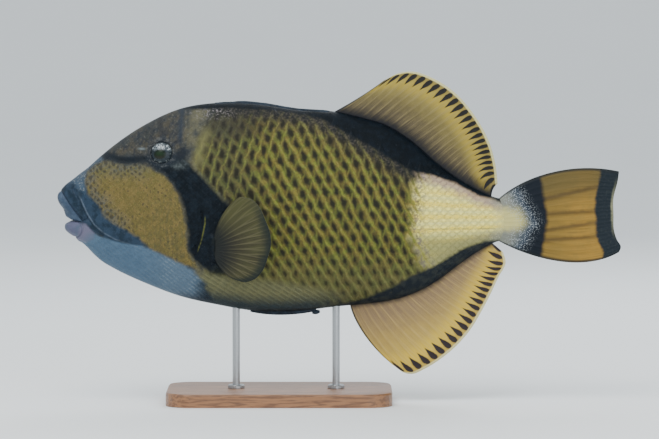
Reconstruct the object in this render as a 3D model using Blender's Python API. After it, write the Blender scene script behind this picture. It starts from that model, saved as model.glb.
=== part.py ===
"""Life-size titan triggerfish on a plain display stand.

The fish faces -X, its left flank faces -Y, and the stand's base rests on Z = 0.
All sizes below are millimetres: x is measured aft from the snout tip, z up from
the body's long axis and y out from the middle plane. Angles are in degrees.
"""

import math

import bmesh
import bpy
import numpy as np
from mathutils import Matrix, Vector
from mathutils.bvhtree import BVHTree

MM = 0.001
GAP = 0.3
WELD = 1e-6

# Whole fish
TOTAL_LENGTH = 600.0
AXIS_HEIGHT = 195.0

# Muzzle rings from inside the closed mouth to the cheek:
# crest x, z, side x, z, keel x, z, half-width, fullness
MUZZLE = (
    (13.4, 0.4, 28.4, -2.9, 14.5, -2.0, 12.0, 2.0),
    (9.3, 3.0, 29.5, -2.8, 9.9, -3.4, 13.3, 2.0),
    (6.3, 10.8, 30.2, -1.7, 7.1, -6.4, 14.6, 2.0),
    (1.4, 18.1, 30.8, 0.0, 8.0, -11.5, 15.8, 2.0),
    (0.0, 23.4, 31.7, 1.6, 11.3, -14.7, 17.0, 2.0),
    (2.2, 29.8, 32.7, 3.2, 16.1, -18.6, 18.3, 2.0),
    (7.6, 36.6, 34.5, 4.8, 20.4, -23.0, 20.0, 2.0),
    (15.0, 42.2, 37.4, 6.4, 25.7, -25.8, 22.0, 2.0),
    (23.6, 49.0, 41.1, 8.5, 31.0, -30.4, 24.2, 2.0),
    (32.1, 55.4, 45.9, 10.7, 37.4, -37.3, 26.3, 1.98),
    (42.7, 65.0, 52.3, 12.8, 45.9, -44.8, 28.3, 1.96),
    (60.9, 79.9, 64.0, 16.0, 60.9, -53.8, 31.2, 1.94),
    (92.8, 101.0, 93.9, 19.2, 92.8, -68.7, 36.0, 1.9),
)

# Upright body sections: x, crest z, side z, keel z, half-width, fullness
BODY = (
    (130.1, 117.9, 18.0, -82.7, 40.5, 1.87),
    (170.6, 124.4, 15.0, -92.0, 44.5, 1.85),
    (211.1, 123.9, 12.0, -98.6, 46.0, 1.84),
    (258.0, 117.4, 9.0, -98.4, 44.5, 1.82),
    (293.2, 115.2, 7.0, -94.3, 41.5, 1.8),
    (321.9, 108.7, 5.5, -91.4, 38.0, 1.8),
    (348.6, 100.7, 4.0, -88.2, 33.8, 1.8),
    (375.2, 84.4, 2.5, -81.2, 28.6, 1.82),
    (401.9, 61.2, 1.0, -67.7, 22.8, 1.86),
    (428.5, 42.0, 0.0, -48.0, 17.0, 1.92),
    (453.2, 28.6, 0.0, -31.8, 12.4, 2.0),
    (470.1, 22.6, 0.0, -24.0, 9.4, 2.0),
)
RING_STEP = 13.0
RING_HALF_POINTS = 16
CREST_FLAT = 3.2

# Where the flesh divides into named parts
HEAD_END = 161.6
TRUNK_END = 391.2
STALK_END = 470.1
LIP_CORNER = (32.1, -3.4)
LIP_TOP = (15.0, 41.6)
LIP_CHIN = (20.4, -23.4)
MOUTH_SLOPE = 0.14
LIP_GAP_X = 0.35
LIP_GAP_Z = 0.15

# Head details
EYE_PLACE = (111.5, 72.5)
EYE_RADIUS = 12.2
EYE_HALF_DEPTH = 6.5
EYE_SUNK = 2.8
EYE_RIM_RADIUS = 12.4
EYE_RIM_THICK = 1.6
NOSTRILS = ((93.9, 77.3), (88.0, 74.1))
NOSTRIL_RADIUS = 1.1
NOSTRIL_DEPTH = 2.5
EYE_GROOVE = ((58.0, 66.0), (67.0, 63.8), (77.0, 62.9), (87.0, 63.8), (96.0, 66.1))
EYE_GROOVE_WIDTH = 3.6
EYE_GROOVE_DEPTH = 1.8
GILL_SLIT = ((154.6, 9.6), (155.0, -0.5), (153.0, -10.7), (150.4, -21.0), (146.6, -30.9))
GILL_SLIT_WIDTH = 1.5
GILL_SLIT_DEPTH = 4.0

# Folded first dorsal fin in its groove
SPINY_START = 166.0
SPINY_END = 291.0
SPINY_GROOVE_HALF = 4.8
SPINY_GROOVE_DEPTH = 4.0
SPINY_RISE = 1.2
SPINES = ((168.0, 232.0, 2.6), (188.0, 256.0, 2.0), (228.0, 280.0, 1.6))

# Keel flap and the blunt pelvic spine behind it
FLAP_START = 205.0
FLAP_END = 275.0
FLAP_HALF = 2.9
FLAP_DEPTH = 3.1
KNOB_LENGTH = 7.0
KNOB_RADIUS = 2.6

# Soft dorsal fin
DORSAL_BASE = (294.2, 462.0)
DORSAL_TIPS = (
    (347.0, 147.4), (362.4, 155.2), (377.4, 157.1), (398.7, 150.3), (423.2, 134.3),
    (443.4, 110.8), (458.4, 84.2), (466.4, 56.5), (468.6, 37.5),
)
DORSAL_RAYS = 25
DORSAL_LEAD_BOW = ((0.5, -1.2), (0.5, -1.6))
DORSAL_TRAIL_BOW = ((0.0, 0.6), (1.0, 0.6))

# Anal fin
ANAL_BASE = (311.3, 463.0)
ANAL_TIPS = (
    (360.3, -158.3), (368.8, -164.1), (377.4, -165.5), (390.8, -160.1), (408.3, -149.2),
    (423.2, -137.0), (437.0, -122.0), (454.6, -93.5), (469.7, -62.2), (477.3, -45.5),
    (474.5, -35.5),
)
ANAL_RAYS = 23
ANAL_LEAD_BOW = ((-12.4, 3.2), (-9.6, -3.4))
ANAL_TRAIL_BOW = ((0.5, 0.5), (1.0, 0.5))

# Tail fin
CAUDAL_ROOT = (22.3, -23.7)
CAUDAL_TIPS = (
    (598.0, 50.7), (596.9, 41.6), (592.1, 20.2), (592.4, 4.3), (592.8, -11.7),
    (595.8, -21.8), (600.0, -29.8), (598.0, -35.2),
)
CAUDAL_RAYS = 12
CAUDAL_LEAD_BOW = ((-15.9, 14.2), (-7.5, 20.7))
CAUDAL_TRAIL_BOW = ((-16.9, -10.5), (0.5, -28.7))

# Pectoral fins
PECTORAL_X = 170.0
PECTORAL_ROOT = (-17.0, -40.5)
PECTORAL_TIPS = (
    (197.0, 27.0), (209.0, 24.6), (216.9, 17.4), (223.5, 3.2), (228.2, -10.7),
    (228.9, -21.7), (224.5, -37.0), (217.9, -51.2), (208.2, -60.7), (197.3, -63.9),
    (187.7, -61.8),
)
PECTORAL_RAYS = 14
PECTORAL_LEAD_BOW = ((-7.0, 2.3), (-5.0, 6.7))
PECTORAL_TRAIL_BOW = ((-3.9, -1.4), (-2.8, -3.3))
PECTORAL_SPLAY = 20.0
PECTORAL_ROLL = 0.13
PECTORAL_STANDOFF = 3.0
PECTORAL_CUP = 1.6
PAD_HALF_HEIGHT = 13.5
PAD_HALF_THICK = 2.6
PAD_LENGTH = 7.0

# Fin blades, as half-thicknesses
MEDIAN_ROOT_HALF = 2.2
CAUDAL_ROOT_HALF = 7.6
PECTORAL_ROOT_HALF = 1.9
FIN_TIP_HALF = 0.42
RAY_RIDGE = 0.32
FIN_WAVE = 3.0
CAUDAL_WAVE = 4.0
FIN_ROWS = 6

# Display stand
BASE_LENGTH = 240.0
BASE_WIDTH = 140.0
BASE_THICK = 14.0
BASE_CORNER = 26.0
BASE_CHAMFER = 1.6
BASE_CENTRE = 236.0
ROD_PLACES = (("stand_rod_front", 189.8), ("stand_rod_rear", 296.4))
ROD_RADIUS = 4.0
ROD_SEAT = 8.0
COLLAR_RADIUS = 9.0
COLLAR_HEIGHT = 4.0
ROD_SIDES = 24

COLOURS = {
    "head": (0.24, 0.19, 0.07),
    "trunk": (0.22, 0.20, 0.05),
    "tail_stalk": (0.58, 0.54, 0.30),
    "upper_lip": (0.05, 0.07, 0.11),
    "lower_lip": (0.22, 0.20, 0.29),
    "eye_left": (0.10, 0.13, 0.10),
    "eye_right": (0.10, 0.13, 0.10),
    "spiny_dorsal_fin": (0.02, 0.03, 0.05),
    "soft_dorsal_fin": (0.42, 0.33, 0.12),
    "anal_fin": (0.50, 0.36, 0.14),
    "caudal_fin": (0.50, 0.26, 0.05),
    "pectoral_fin_left": (0.16, 0.15, 0.06),
    "pectoral_fin_right": (0.16, 0.15, 0.06),
    "ventral_flap": (0.03, 0.04, 0.06),
    "stand_base": (0.70, 0.70, 0.68),
    "stand_rod_front": (0.55, 0.56, 0.58),
    "stand_rod_rear": (0.55, 0.56, 0.58),
}
METAL = ("stand_rod_front", "stand_rod_rear")


def clear_scene():
    for obj in list(bpy.data.objects):
        bpy.data.objects.remove(obj, do_unlink=True)
    for mesh in list(bpy.data.meshes):
        bpy.data.meshes.remove(mesh)


def to_world(point):
    x, y, z = point
    return ((x - TOTAL_LENGTH / 2) * MM, y * MM, (z + AXIS_HEIGHT) * MM)


def make_object(name, points, faces):
    mesh = bpy.data.meshes.new(name)
    mesh.from_pydata([to_world(p) for p in points], [], faces)
    tidy_mesh(mesh)
    obj = bpy.data.objects.new(name, mesh)
    bpy.context.scene.collection.objects.link(obj)
    return obj


def tidy_mesh(mesh):
    bm = bmesh.new()
    bm.from_mesh(mesh)
    bmesh.ops.remove_doubles(bm, verts=bm.verts, dist=1e-6)
    bmesh.ops.triangulate(bm, faces=[f for f in bm.faces if len(f.verts) > 4])
    bmesh.ops.recalc_face_normals(bm, faces=bm.faces)
    bm.to_mesh(mesh)
    bm.free()


def boolean(target, pieces, operation):
    """Apply one Boolean with a collection of closed pieces, then drop the pieces."""
    group = bpy.data.collections.new("pieces")
    bpy.context.scene.collection.children.link(group)
    for piece in pieces:
        bpy.context.scene.collection.objects.unlink(piece)
        group.objects.link(piece)
        piece.hide_render = True
        piece.display_type = "WIRE"
    modifier = target.modifiers.new("join", "BOOLEAN")
    modifier.operation = operation
    modifier.operand_type = "COLLECTION"
    modifier.collection = group
    modifier.solver = "EXACT"
    bpy.context.view_layer.update()
    graph = bpy.context.evaluated_depsgraph_get()
    result = bpy.data.meshes.new_from_object(target.evaluated_get(graph))
    target.modifiers.remove(modifier)
    target.data = result
    for piece in pieces:
        bpy.data.objects.remove(piece, do_unlink=True)
    bpy.data.collections.remove(group)
    keep_largest(target)


def keep_largest(obj):
    """Weld hairline edges and keep only the largest closed surface."""
    bm = bmesh.new()
    bm.from_mesh(obj.data)
    bmesh.ops.remove_doubles(bm, verts=bm.verts, dist=WELD)
    bmesh.ops.dissolve_degenerate(bm, dist=WELD, edges=bm.edges)
    bmesh.ops.triangulate(bm, faces=[f for f in bm.faces if len(f.verts) > 4])
    unseen = set(bm.verts)
    best = set()
    while unseen:
        stack = [unseen.pop()]
        island = set(stack)
        while stack:
            vert = stack.pop()
            for edge in vert.link_edges:
                other = edge.other_vert(vert)
                if other in unseen:
                    unseen.discard(other)
                    island.add(other)
                    stack.append(other)
        if len(island) > len(best):
            best = island
    bmesh.ops.delete(bm, geom=[v for v in bm.verts if v not in best], context="VERTS")
    bmesh.ops.recalc_face_normals(bm, faces=bm.faces)
    bm.to_mesh(obj.data)
    bm.free()


def cut_plane(obj, x, keep_aft):
    """Cut at an upright plane and close the cut flat."""
    bm = bmesh.new()
    bm.from_mesh(obj.data)
    place = to_world((x, 0.0, 0.0))
    bmesh.ops.bisect_plane(
        bm, geom=bm.verts[:] + bm.edges[:] + bm.faces[:], dist=1e-7,
        plane_co=place, plane_no=(1.0, 0.0, 0.0),
        clear_inner=keep_aft, clear_outer=not keep_aft,
    )
    rim = [e for e in bm.edges if e.is_boundary]
    bmesh.ops.holes_fill(bm, edges=rim, sides=0)
    bmesh.ops.triangulate(bm, faces=[f for f in bm.faces if len(f.verts) > 4])
    bmesh.ops.recalc_face_normals(bm, faces=bm.faces)
    bm.to_mesh(obj.data)
    bm.free()


def copy_object(obj, name):
    other = obj.copy()
    other.data = obj.data.copy()
    other.name = name
    bpy.context.scene.collection.objects.link(other)
    return other


def smooth_rows(rows, step):
    """Resample a table of sizes along a smooth curve at about one step apart."""
    rows = np.array(rows, float)
    spans = np.linalg.norm(np.diff(rows[:, :6], axis=0), axis=1)
    place = np.concatenate([[0.0], np.cumsum(spans)])
    slopes = np.gradient(rows, place, axis=0)
    result = []
    for i, span in enumerate(spans):
        lead = np.linalg.norm(rows[i + 1][:2] - rows[i][:2])
        keel = np.linalg.norm(rows[i + 1][4:6] - rows[i][4:6])
        count = max(1, round(max(lead, keel) / step))
        for k in range(count):
            t = k / count
            rise = 3 * t * t - 2 * t * t * t
            start = t * t * t - 2 * t * t + t
            end = t * t * t - t * t
            row = rows[i] * (1 - rise) + rows[i + 1] * rise
            result.append(row + (slopes[i] * start + slopes[i + 1] * end) * span)
    result.append(rows[-1])
    return np.array(result)


def smooth_curve(points, count):
    """Evenly spaced points along a smooth curve through the given ones."""
    points = np.array(points, float)
    place = np.concatenate([[0.0], np.cumsum(np.linalg.norm(np.diff(points, axis=0), axis=1))])
    slopes = np.gradient(points, place, axis=0)
    fine = []
    for i in range(len(points) - 1):
        span = place[i + 1] - place[i]
        for t in np.linspace(0, 1, 12, endpoint=False):
            rise = 3 * t * t - 2 * t * t * t
            start = t * t * t - 2 * t * t + t
            end = t * t * t - t * t
            point = points[i] * (1 - rise) + points[i + 1] * rise
            fine.append(point + (slopes[i] * start + slopes[i + 1] * end) * span)
    fine.append(points[-1])
    fine = np.array(fine)
    along = np.concatenate([[0.0], np.cumsum(np.linalg.norm(np.diff(fine, axis=0), axis=1))])
    wanted = np.linspace(0, along[-1], count)
    return np.column_stack([np.interp(wanted, along, fine[:, k]) for k in range(2)])


def body_rows():
    rows = list(MUZZLE)
    for x, crest, side, keel, half, full in BODY:
        rows.append((x, crest, x, side, x, keel, half, full))
    return smooth_rows(rows, RING_STEP)


def ring(row):
    """One closed ring, down the +Y side from the crest and up the -Y side."""
    crest_x, crest_z, side_x, side_z, keel_x, keel_z, half, full = row
    flat = min(CREST_FLAT, 0.24 * half)
    side = []
    for j in range(RING_HALF_POINTS):
        angle = math.pi * j / (RING_HALF_POINTS - 1)
        out = math.sin(angle) ** (2 / full) if 0 < j < RING_HALF_POINTS - 1 else 0.0
        up = abs(math.cos(angle)) ** (2 / full)
        end_x, end_z = (crest_x, crest_z) if angle < math.pi / 2 else (keel_x, keel_z)
        x = side_x + (end_x - side_x) * up
        z = side_z + (end_z - side_z) * up
        side.append((x, max(half * out, flat), z))
    return side + [(x, -y, z) for x, y, z in reversed(side)]


def loft(name, rings, closed_ends=True):
    """Skin a run of like rings and close both ends with strips across them."""
    size = len(rings[0])
    points = [p for r in rings for p in r]
    faces = []
    for i in range(len(rings) - 1):
        for j in range(size):
            a = i * size + j
            b = i * size + (j + 1) % size
            faces.append((a, b, b + size, a + size))
    if closed_ends:
        half = size // 2
        for start in (0, (len(rings) - 1) * size):
            for j in range(half - 1):
                near = start + j
                far = start + size - 1 - j
                faces.append((near, near + 1, far - 1, far))
    return make_object(name, points, faces)


def prism(name, outline, half_width):
    """Closed prism across the fish from an outline in side view."""
    count = len(outline)
    points = [(x, -half_width, z) for x, z in outline]
    points += [(x, half_width, z) for x, z in outline]
    faces = [tuple(range(count)), tuple(range(2 * count - 1, count - 1, -1))]
    for j in range(count):
        k = (j + 1) % count
        faces.append((j, k, k + count, j + count))
    return make_object(name, points, faces)


def lip_rear(end, shift_x, shift_z):
    """Rear border of a lip in side view, from the mouth's corner past the skin."""
    corner = (LIP_CORNER[0] + shift_x, LIP_CORNER[1] + shift_z)
    reach = 2.2
    rear_x = corner[0] + (end[0] - LIP_CORNER[0]) * reach
    rear_z = corner[1] + (end[1] - LIP_CORNER[1]) * reach
    return corner, (rear_x, rear_z)


def lip_outline(chin, shift_x, shift_z):
    """Outline in side view of the wedge that holds one lip."""
    corner, rear = lip_rear(LIP_CHIN if chin else LIP_TOP, shift_x, shift_z)
    front_x = -20.0
    front_z = corner[1] + (corner[0] - front_x) * MOUTH_SLOPE
    return [corner, rear, (front_x, rear[1]), (front_x, front_z)]


def muzzle_outline():
    """Outline in side view of the room that both lips take."""
    corner, high = lip_rear(LIP_TOP, 0.0, 0.0)
    _, low = lip_rear(LIP_CHIN, 0.0, 0.0)
    front_x = -20.0
    return [corner, high, (front_x, high[1]), (front_x, low[1]), low]


class Flank:
    """Finds the skin's place and outward direction beneath a point in side view."""

    def __init__(self, obj):
        bm = bmesh.new()
        bm.from_mesh(obj.data)
        self.tree = BVHTree.FromBMesh(bm)
        bm.free()

    def at(self, x, z, side):
        start = Vector(to_world((x, side * 100.0, z)))
        place, normal, _, _ = self.tree.ray_cast(start, Vector((0.0, -side, 0.0)))
        return abs(place.y) / MM, normal


def aligned(obj, place, normal):
    """Turn an object made about the origin so its Z axis lies along a normal."""
    turn = Vector((0, 0, 1)).rotation_difference(normal).to_matrix().to_4x4()
    obj.data.transform(Matrix.Translation(place) @ turn)
    return obj


def raw_object(name, bm):
    mesh = bpy.data.meshes.new(name)
    bm.to_mesh(mesh)
    bm.free()
    obj = bpy.data.objects.new(name, mesh)
    bpy.context.scene.collection.objects.link(obj)
    return obj


def eye_ball(name, place, normal, grow):
    bm = bmesh.new()
    bmesh.ops.create_uvsphere(bm, u_segments=28, v_segments=14, radius=MM)
    scale = Matrix.Diagonal((EYE_RADIUS + grow, EYE_RADIUS + grow, EYE_HALF_DEPTH + grow, 1.0))
    bmesh.ops.transform(bm, matrix=scale, verts=bm.verts)
    centre = place - normal * (EYE_SUNK * MM)
    return aligned(raw_object(name, bm), centre, normal)


def eye_rim(place, normal):
    """A low raised ring of skin round the eye."""
    around = 28
    across = 8
    points = []
    for i in range(around):
        turn = 2 * math.pi * i / around
        for j in range(across):
            lift = 2 * math.pi * j / across
            reach = EYE_RIM_RADIUS + EYE_RIM_THICK * math.cos(lift)
            rise = EYE_RIM_THICK * math.sin(lift) * 0.8
            points.append((reach * math.cos(turn) * MM, reach * math.sin(turn) * MM, rise * MM))
    faces = []
    for i in range(around):
        for j in range(across):
            a = i * across + j
            b = i * across + (j + 1) % across
            c = ((i + 1) % around) * across
            faces.append((a, b, c + (j + 1) % across, c + j))
    mesh = bpy.data.meshes.new("eye_rim")
    mesh.from_pydata(points, [], faces)
    tidy_mesh(mesh)
    obj = bpy.data.objects.new("eye_rim", mesh)
    bpy.context.scene.collection.objects.link(obj)
    return aligned(obj, place, normal)


def pit(place, normal):
    bm = bmesh.new()
    bmesh.ops.create_cone(
        bm, cap_ends=True, segments=10, depth=2 * NOSTRIL_DEPTH * MM,
        radius1=0.6 * NOSTRIL_RADIUS * MM, radius2=1.3 * NOSTRIL_RADIUS * MM,
    )
    return aligned(raw_object("pit", bm), place, normal)


def slot(flank, path, side, width, depth, floor_share):
    """Cutter for a groove that follows a path in side view at one depth."""
    curve = smooth_curve(path, 13)
    along = np.gradient(curve, axis=0)
    rings = []
    for i, (x, z) in enumerate(curve):
        step = along[i] / np.linalg.norm(along[i])
        taper = 0.25 + 0.75 * math.sin(math.pi * i / (len(curve) - 1)) ** 0.6
        skin, _ = flank.at(x, z, side)
        deep = skin - depth * taper
        out = skin + 3.0
        top = width / 2
        low = width / 2 * floor_share
        section = ((top, out), (top, skin), (low, deep), (-low, deep), (-top, skin), (-top, out))
        rings.append([(x - step[1] * a, side * y, z + step[0] * a) for a, y in section])
    return loft("slot", rings)


def crest_at(rows, x):
    upright = rows[len(MUZZLE):]
    return float(np.interp(x, upright[:, 0], upright[:, 1]))


def keel_at(rows, x):
    upright = rows[len(MUZZLE):]
    return float(np.interp(x, upright[:, 4], upright[:, 5]))


def ridge_bar(name, places, section_at):
    """Loft along the fish's length from one side-to-side section per place."""
    rings = []
    for x in places:
        section = section_at(x)
        rings.append([(x, y, z) for y, z in section])
    return loft(name, rings)


def rod_along(name, places, height_at, radius_at):
    """Round tapered rod that follows the back."""
    rings = []
    sides = 10
    for x in places:
        ring_points = []
        for k in range(sides):
            angle = 2 * math.pi * (k + 0.5) / sides
            y = radius_at(x) * math.sin(angle)
            ring_points.append((x, y, height_at(x) + radius_at(x) * math.cos(angle)))
        rings.append(ring_points)
    return loft(name, rings)


def blade(roots, tips, lead_bow, trail_bow, fade, rows, root_half, tip_half, wave, ridge):
    """Fin membrane with its rays raised on both faces.

    Gives closed points and faces in fin coordinates: along, across, up.
    """
    cols = len(roots)
    span = np.linspace(0, 1, cols)
    lead = np.clip(1 - 2 * span, 0, 1) ** fade
    trail = np.clip(2 * span - 1, 0, 1) ** fade
    guides = []
    for k, share in enumerate((1 / 3, 2 / 3)):
        line = roots + (tips - roots) * share
        line = line + lead[:, None] * np.array(lead_bow[k]) + trail[:, None] * np.array(trail_bow[k])
        guides.append(line)
    sides = {1: [], -1: []}
    for i in range(rows + 1):
        t = i / rows
        path = roots * (1 - t) ** 3 + guides[0] * 3 * t * (1 - t) ** 2
        path = path + guides[1] * 3 * t * t * (1 - t) + tips * t ** 3
        for j in range(cols):
            thick = root_half(span[j]) * (1 - t) ** 1.6 + tip_half * (1 - (1 - t) ** 1.6)
            raised = ridge * min(1.0, t * rows) * (1 - 0.5 * t) if j % 2 else 0.0
            centre = wave(span[j], t)
            for side in sides:
                sides[side].append((path[j][0], centre + side * (thick + raised), path[j][1]))
    points = sides[1] + sides[-1]
    other = (rows + 1) * cols
    faces = []
    for i in range(rows):
        for j in range(cols - 1):
            a = i * cols + j
            b = a + 1
            c = b + cols
            d = a + cols
            pair = ((a, b, c), (a, c, d)) if j % 2 else ((a, b, d), (b, c, d))
            for tri in pair:
                faces.append(tri)
                faces.append(tuple(reversed([k + other for k in tri])))
    for j in range(cols - 1):
        faces.append((j, j + 1, j + 1 + other, j + other))
        a = rows * cols + j
        faces.append((a + 1, a, a + other, a + 1 + other))
    for i in range(rows):
        a = i * cols
        faces.append((a, a + cols, a + cols + other, a + other))
        a = i * cols + cols - 1
        faces.append((a + cols, a, a + other, a + cols + other))
    return points, faces


def median_fin(name, rows, base, tips, rays, bows, edge_at, phase):
    """Dorsal or anal fin standing on the body's middle line."""
    cols = 2 * rays + 1
    places = np.linspace(base[0], base[1], cols)
    roots = np.array([(x, edge_at(rows, x)) for x in places])
    ends = smooth_curve(tips, cols)

    def root_half(u):
        return MEDIAN_ROOT_HALF * (1 - 0.5 * u) * (0.55 + 0.45 * min(1.0, u * 8))

    def wave(u, t):
        return FIN_WAVE * t * t * math.sin(2 * math.pi * (u + phase))

    points, faces = blade(
        roots, ends, bows[0], bows[1], 2, FIN_ROWS, root_half, FIN_TIP_HALF, wave, RAY_RIDGE,
    )
    return make_object(name, points, faces)


def tail_fin():
    cols = 2 * CAUDAL_RAYS + 1
    heights = np.linspace(CAUDAL_ROOT[0], CAUDAL_ROOT[1], cols)
    roots = np.array([(STALK_END + GAP, z) for z in heights])
    ends = smooth_curve(CAUDAL_TIPS, cols)

    def root_half(u):
        return CAUDAL_ROOT_HALF * math.sqrt(max(0.12, 1 - (2 * u - 1) ** 2))

    def wave(u, t):
        return CAUDAL_WAVE * t * t * math.cos(math.pi * (u - 0.3))

    points, faces = blade(
        roots, ends, CAUDAL_LEAD_BOW, CAUDAL_TRAIL_BOW, 1, FIN_ROWS + 3,
        root_half, FIN_TIP_HALF, wave, RAY_RIDGE,
    )
    return make_object("caudal_fin", points, faces)


def splayed(point, out, side):
    """From pectoral coordinates (along, across, up) to the fish's own."""
    along, across, up = point
    turn = math.radians(PECTORAL_SPLAY)
    reach = along - PECTORAL_X
    across += (up - sum(PECTORAL_ROOT) / 2) * PECTORAL_ROLL
    x = PECTORAL_X + reach * math.cos(turn) - across * math.sin(turn)
    y = out + reach * math.sin(turn) + across * math.cos(turn)
    return (x, side * y, up)


def pectoral_fin(name, out, side):
    cols = 2 * PECTORAL_RAYS + 1
    stretch = 1 / math.cos(math.radians(PECTORAL_SPLAY))
    heights = np.linspace(PECTORAL_ROOT[0], PECTORAL_ROOT[1], cols)
    roots = np.array([(PECTORAL_X + GAP, z) for z in heights])
    ends = smooth_curve(PECTORAL_TIPS, cols)
    ends[:, 0] = PECTORAL_X + (ends[:, 0] - PECTORAL_X) * stretch

    def root_half(u):
        return PECTORAL_ROOT_HALF

    def wave(u, t):
        return PECTORAL_CUP * t * t * math.cos(2 * math.pi * (u - 0.5))

    points, faces = blade(
        roots, ends, PECTORAL_LEAD_BOW, PECTORAL_TRAIL_BOW, 2, FIN_ROWS,
        root_half, FIN_TIP_HALF, wave, RAY_RIDGE,
    )
    return make_object(name, [splayed(p, out, side) for p in points], faces)


def pectoral_pad(out, side):
    """Fleshy base that the pectoral fin grows from, flat at its rear end."""
    middle = sum(PECTORAL_ROOT) / 2
    sections = (
        (-PAD_LENGTH, -4.5, 2.0, 0.75), (-PAD_LENGTH / 2, -1.6, 3.4, 0.95),
        (-0.25 * PAD_LENGTH, -0.7, 3.2, 1.0), (0.0, 0.0, PAD_HALF_THICK, 1.0),
    )
    rings = []
    sides = 20
    for along, across, thick, tall in sections:
        section = []
        for k in range(sides):
            angle = 2 * math.pi * (k + 0.5) / sides
            y = across + thick * math.copysign(abs(math.sin(angle)) ** 0.5, math.sin(angle))
            z = middle + tall * PAD_HALF_HEIGHT * math.copysign(
                abs(math.cos(angle)) ** 0.8, math.cos(angle))
            section.append(splayed((PECTORAL_X + along, y, z), out, side))
        rings.append(section)
    return loft("pad", rings)


def bar_section(half, low, high, flat_share):
    """Rounded bar section, listed down one side and up the other."""
    side = [(half * flat_share, high), (half * 0.86, high - 0.28 * (high - low)), (half, low)]
    return side + [(-y, z) for y, z in reversed(side)]


def spiny_dorsal(rows):
    """First dorsal fin folded down: three overlapping spines on a low membrane."""
    floor = SPINY_GROOVE_DEPTH - GAP
    places = np.linspace(SPINY_START + 1.5, SPINY_END - 1.5, 20)

    def section(x):
        t = (x - places[0]) / (places[-1] - places[0])
        half = (SPINY_GROOVE_HALF - GAP) * (1 - 0.35 * t)
        base = crest_at(rows, x)
        low = base - floor
        return bar_section(half, low, base + SPINY_RISE * math.sin(math.pi * t) ** 0.4 - 0.6, 0.5)

    fin = ridge_bar("spiny_dorsal_fin", places, section)
    spines = []
    for start, end, radius in SPINES:
        run = np.linspace(start, end, 10)

        def height(x):
            return crest_at(rows, x) - 0.2

        def thickness(x):
            t = (x - start) / (end - start)
            return radius * (1.05 - 0.8 * t) * min(1.0, 0.6 + 4 * t)

        spines.append(rod_along("spine", run, height, thickness))
    boolean(fin, spines, "UNION")
    return fin


def spiny_groove(rows):
    places = np.linspace(SPINY_START, SPINY_END, 20)

    def section(x):
        base = crest_at(rows, x)
        low = base - SPINY_GROOVE_DEPTH
        high = base + 8.0
        half = SPINY_GROOVE_HALF
        return [(half, high), (half, low), (-half, low), (-half, high)]

    return ridge_bar("groove", places, section)


def ventral_flap(rows):
    """Low keel flap with the blunt pelvic spine at its rear end."""
    places = np.linspace(FLAP_START, FLAP_END, 14)

    def section(x):
        t = (x - FLAP_START) / (FLAP_END - FLAP_START)
        deep = FLAP_DEPTH * (0.12 + 0.88 * math.sin(math.pi * min(1.0, 0.04 + 0.85 * t)) ** 0.7)
        top = keel_at(rows, x) - GAP
        side = [(FLAP_HALF, top), (FLAP_HALF * 1.1, top - 0.5 * deep), (FLAP_HALF * 0.45, top - deep)]
        return side + [(-y, z) for y, z in reversed(side)]

    flap = ridge_bar("ventral_flap", places, section)
    run = np.linspace(FLAP_END - KNOB_LENGTH * 0.6, FLAP_END + KNOB_LENGTH * 0.6, 8)

    def height(x):
        return keel_at(rows, x) - GAP - KNOB_RADIUS - 0.1

    def thickness(x):
        t = (x - run[0]) / (run[-1] - run[0])
        return KNOB_RADIUS * (0.35 + 0.6 * math.sin(math.pi * (0.12 + 0.8 * t)))

    boolean(flap, [rod_along("knob", run, height, thickness)], "UNION")
    return flap


def lathe(name, x, profile, sides):
    """Turned piece on an upright axis; profile radii and heights above the floor."""
    points = []
    for radius, height in profile:
        for k in range(sides):
            angle = 2 * math.pi * k / sides
            points.append((
                x + radius * math.cos(angle), radius * math.sin(angle), height - AXIS_HEIGHT,
            ))
    faces = []
    for i in range(len(profile) - 1):
        for k in range(sides):
            a = i * sides + k
            b = i * sides + (k + 1) % sides
            faces.append((a, b, b + sides, a + sides))
    faces.append(tuple(range(sides)))
    faces.append(tuple(range((len(profile) - 1) * sides, len(profile) * sides)))
    return make_object(name, points, faces)


def stand_base():
    """Flat base with rounded corners and a narrow chamfer round its top."""
    corner_steps = 6
    outlines = ((0.0, 0.0), (BASE_THICK - BASE_CHAMFER, 0.0), (BASE_THICK, BASE_CHAMFER))
    rings = []
    for height, inset in outlines:
        ring_points = []
        for quarter in range(4):
            sign_x = (1, -1, -1, 1)[quarter]
            sign_y = (1, 1, -1, -1)[quarter]
            for k in range(corner_steps + 1):
                angle = math.radians(90 * (quarter + k / corner_steps))
                radius = BASE_CORNER - inset
                x = sign_x * (BASE_LENGTH / 2 - BASE_CORNER) + radius * math.cos(angle)
                y = sign_y * (BASE_WIDTH / 2 - BASE_CORNER) + radius * math.sin(angle)
                ring_points.append((BASE_CENTRE + x, y, height - AXIS_HEIGHT))
        rings.append(ring_points)
    size = len(rings[0])
    points = [p for r in rings for p in r]
    faces = [tuple(range(size)), tuple(range(2 * size, 3 * size))]
    for i in range(2):
        for j in range(size):
            a = i * size + j
            b = i * size + (j + 1) % size
            faces.append((a, b, b + size, a + size))
    base = make_object("stand_base", points, faces)
    holes = []
    for _, x in ROD_PLACES:
        profile = ((ROD_RADIUS + GAP, BASE_THICK - ROD_SEAT), (ROD_RADIUS + GAP, BASE_THICK + 5.0))
        holes.append(lathe("hole", x, profile, ROD_SIDES))
    boolean(base, holes, "DIFFERENCE")
    return base


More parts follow.
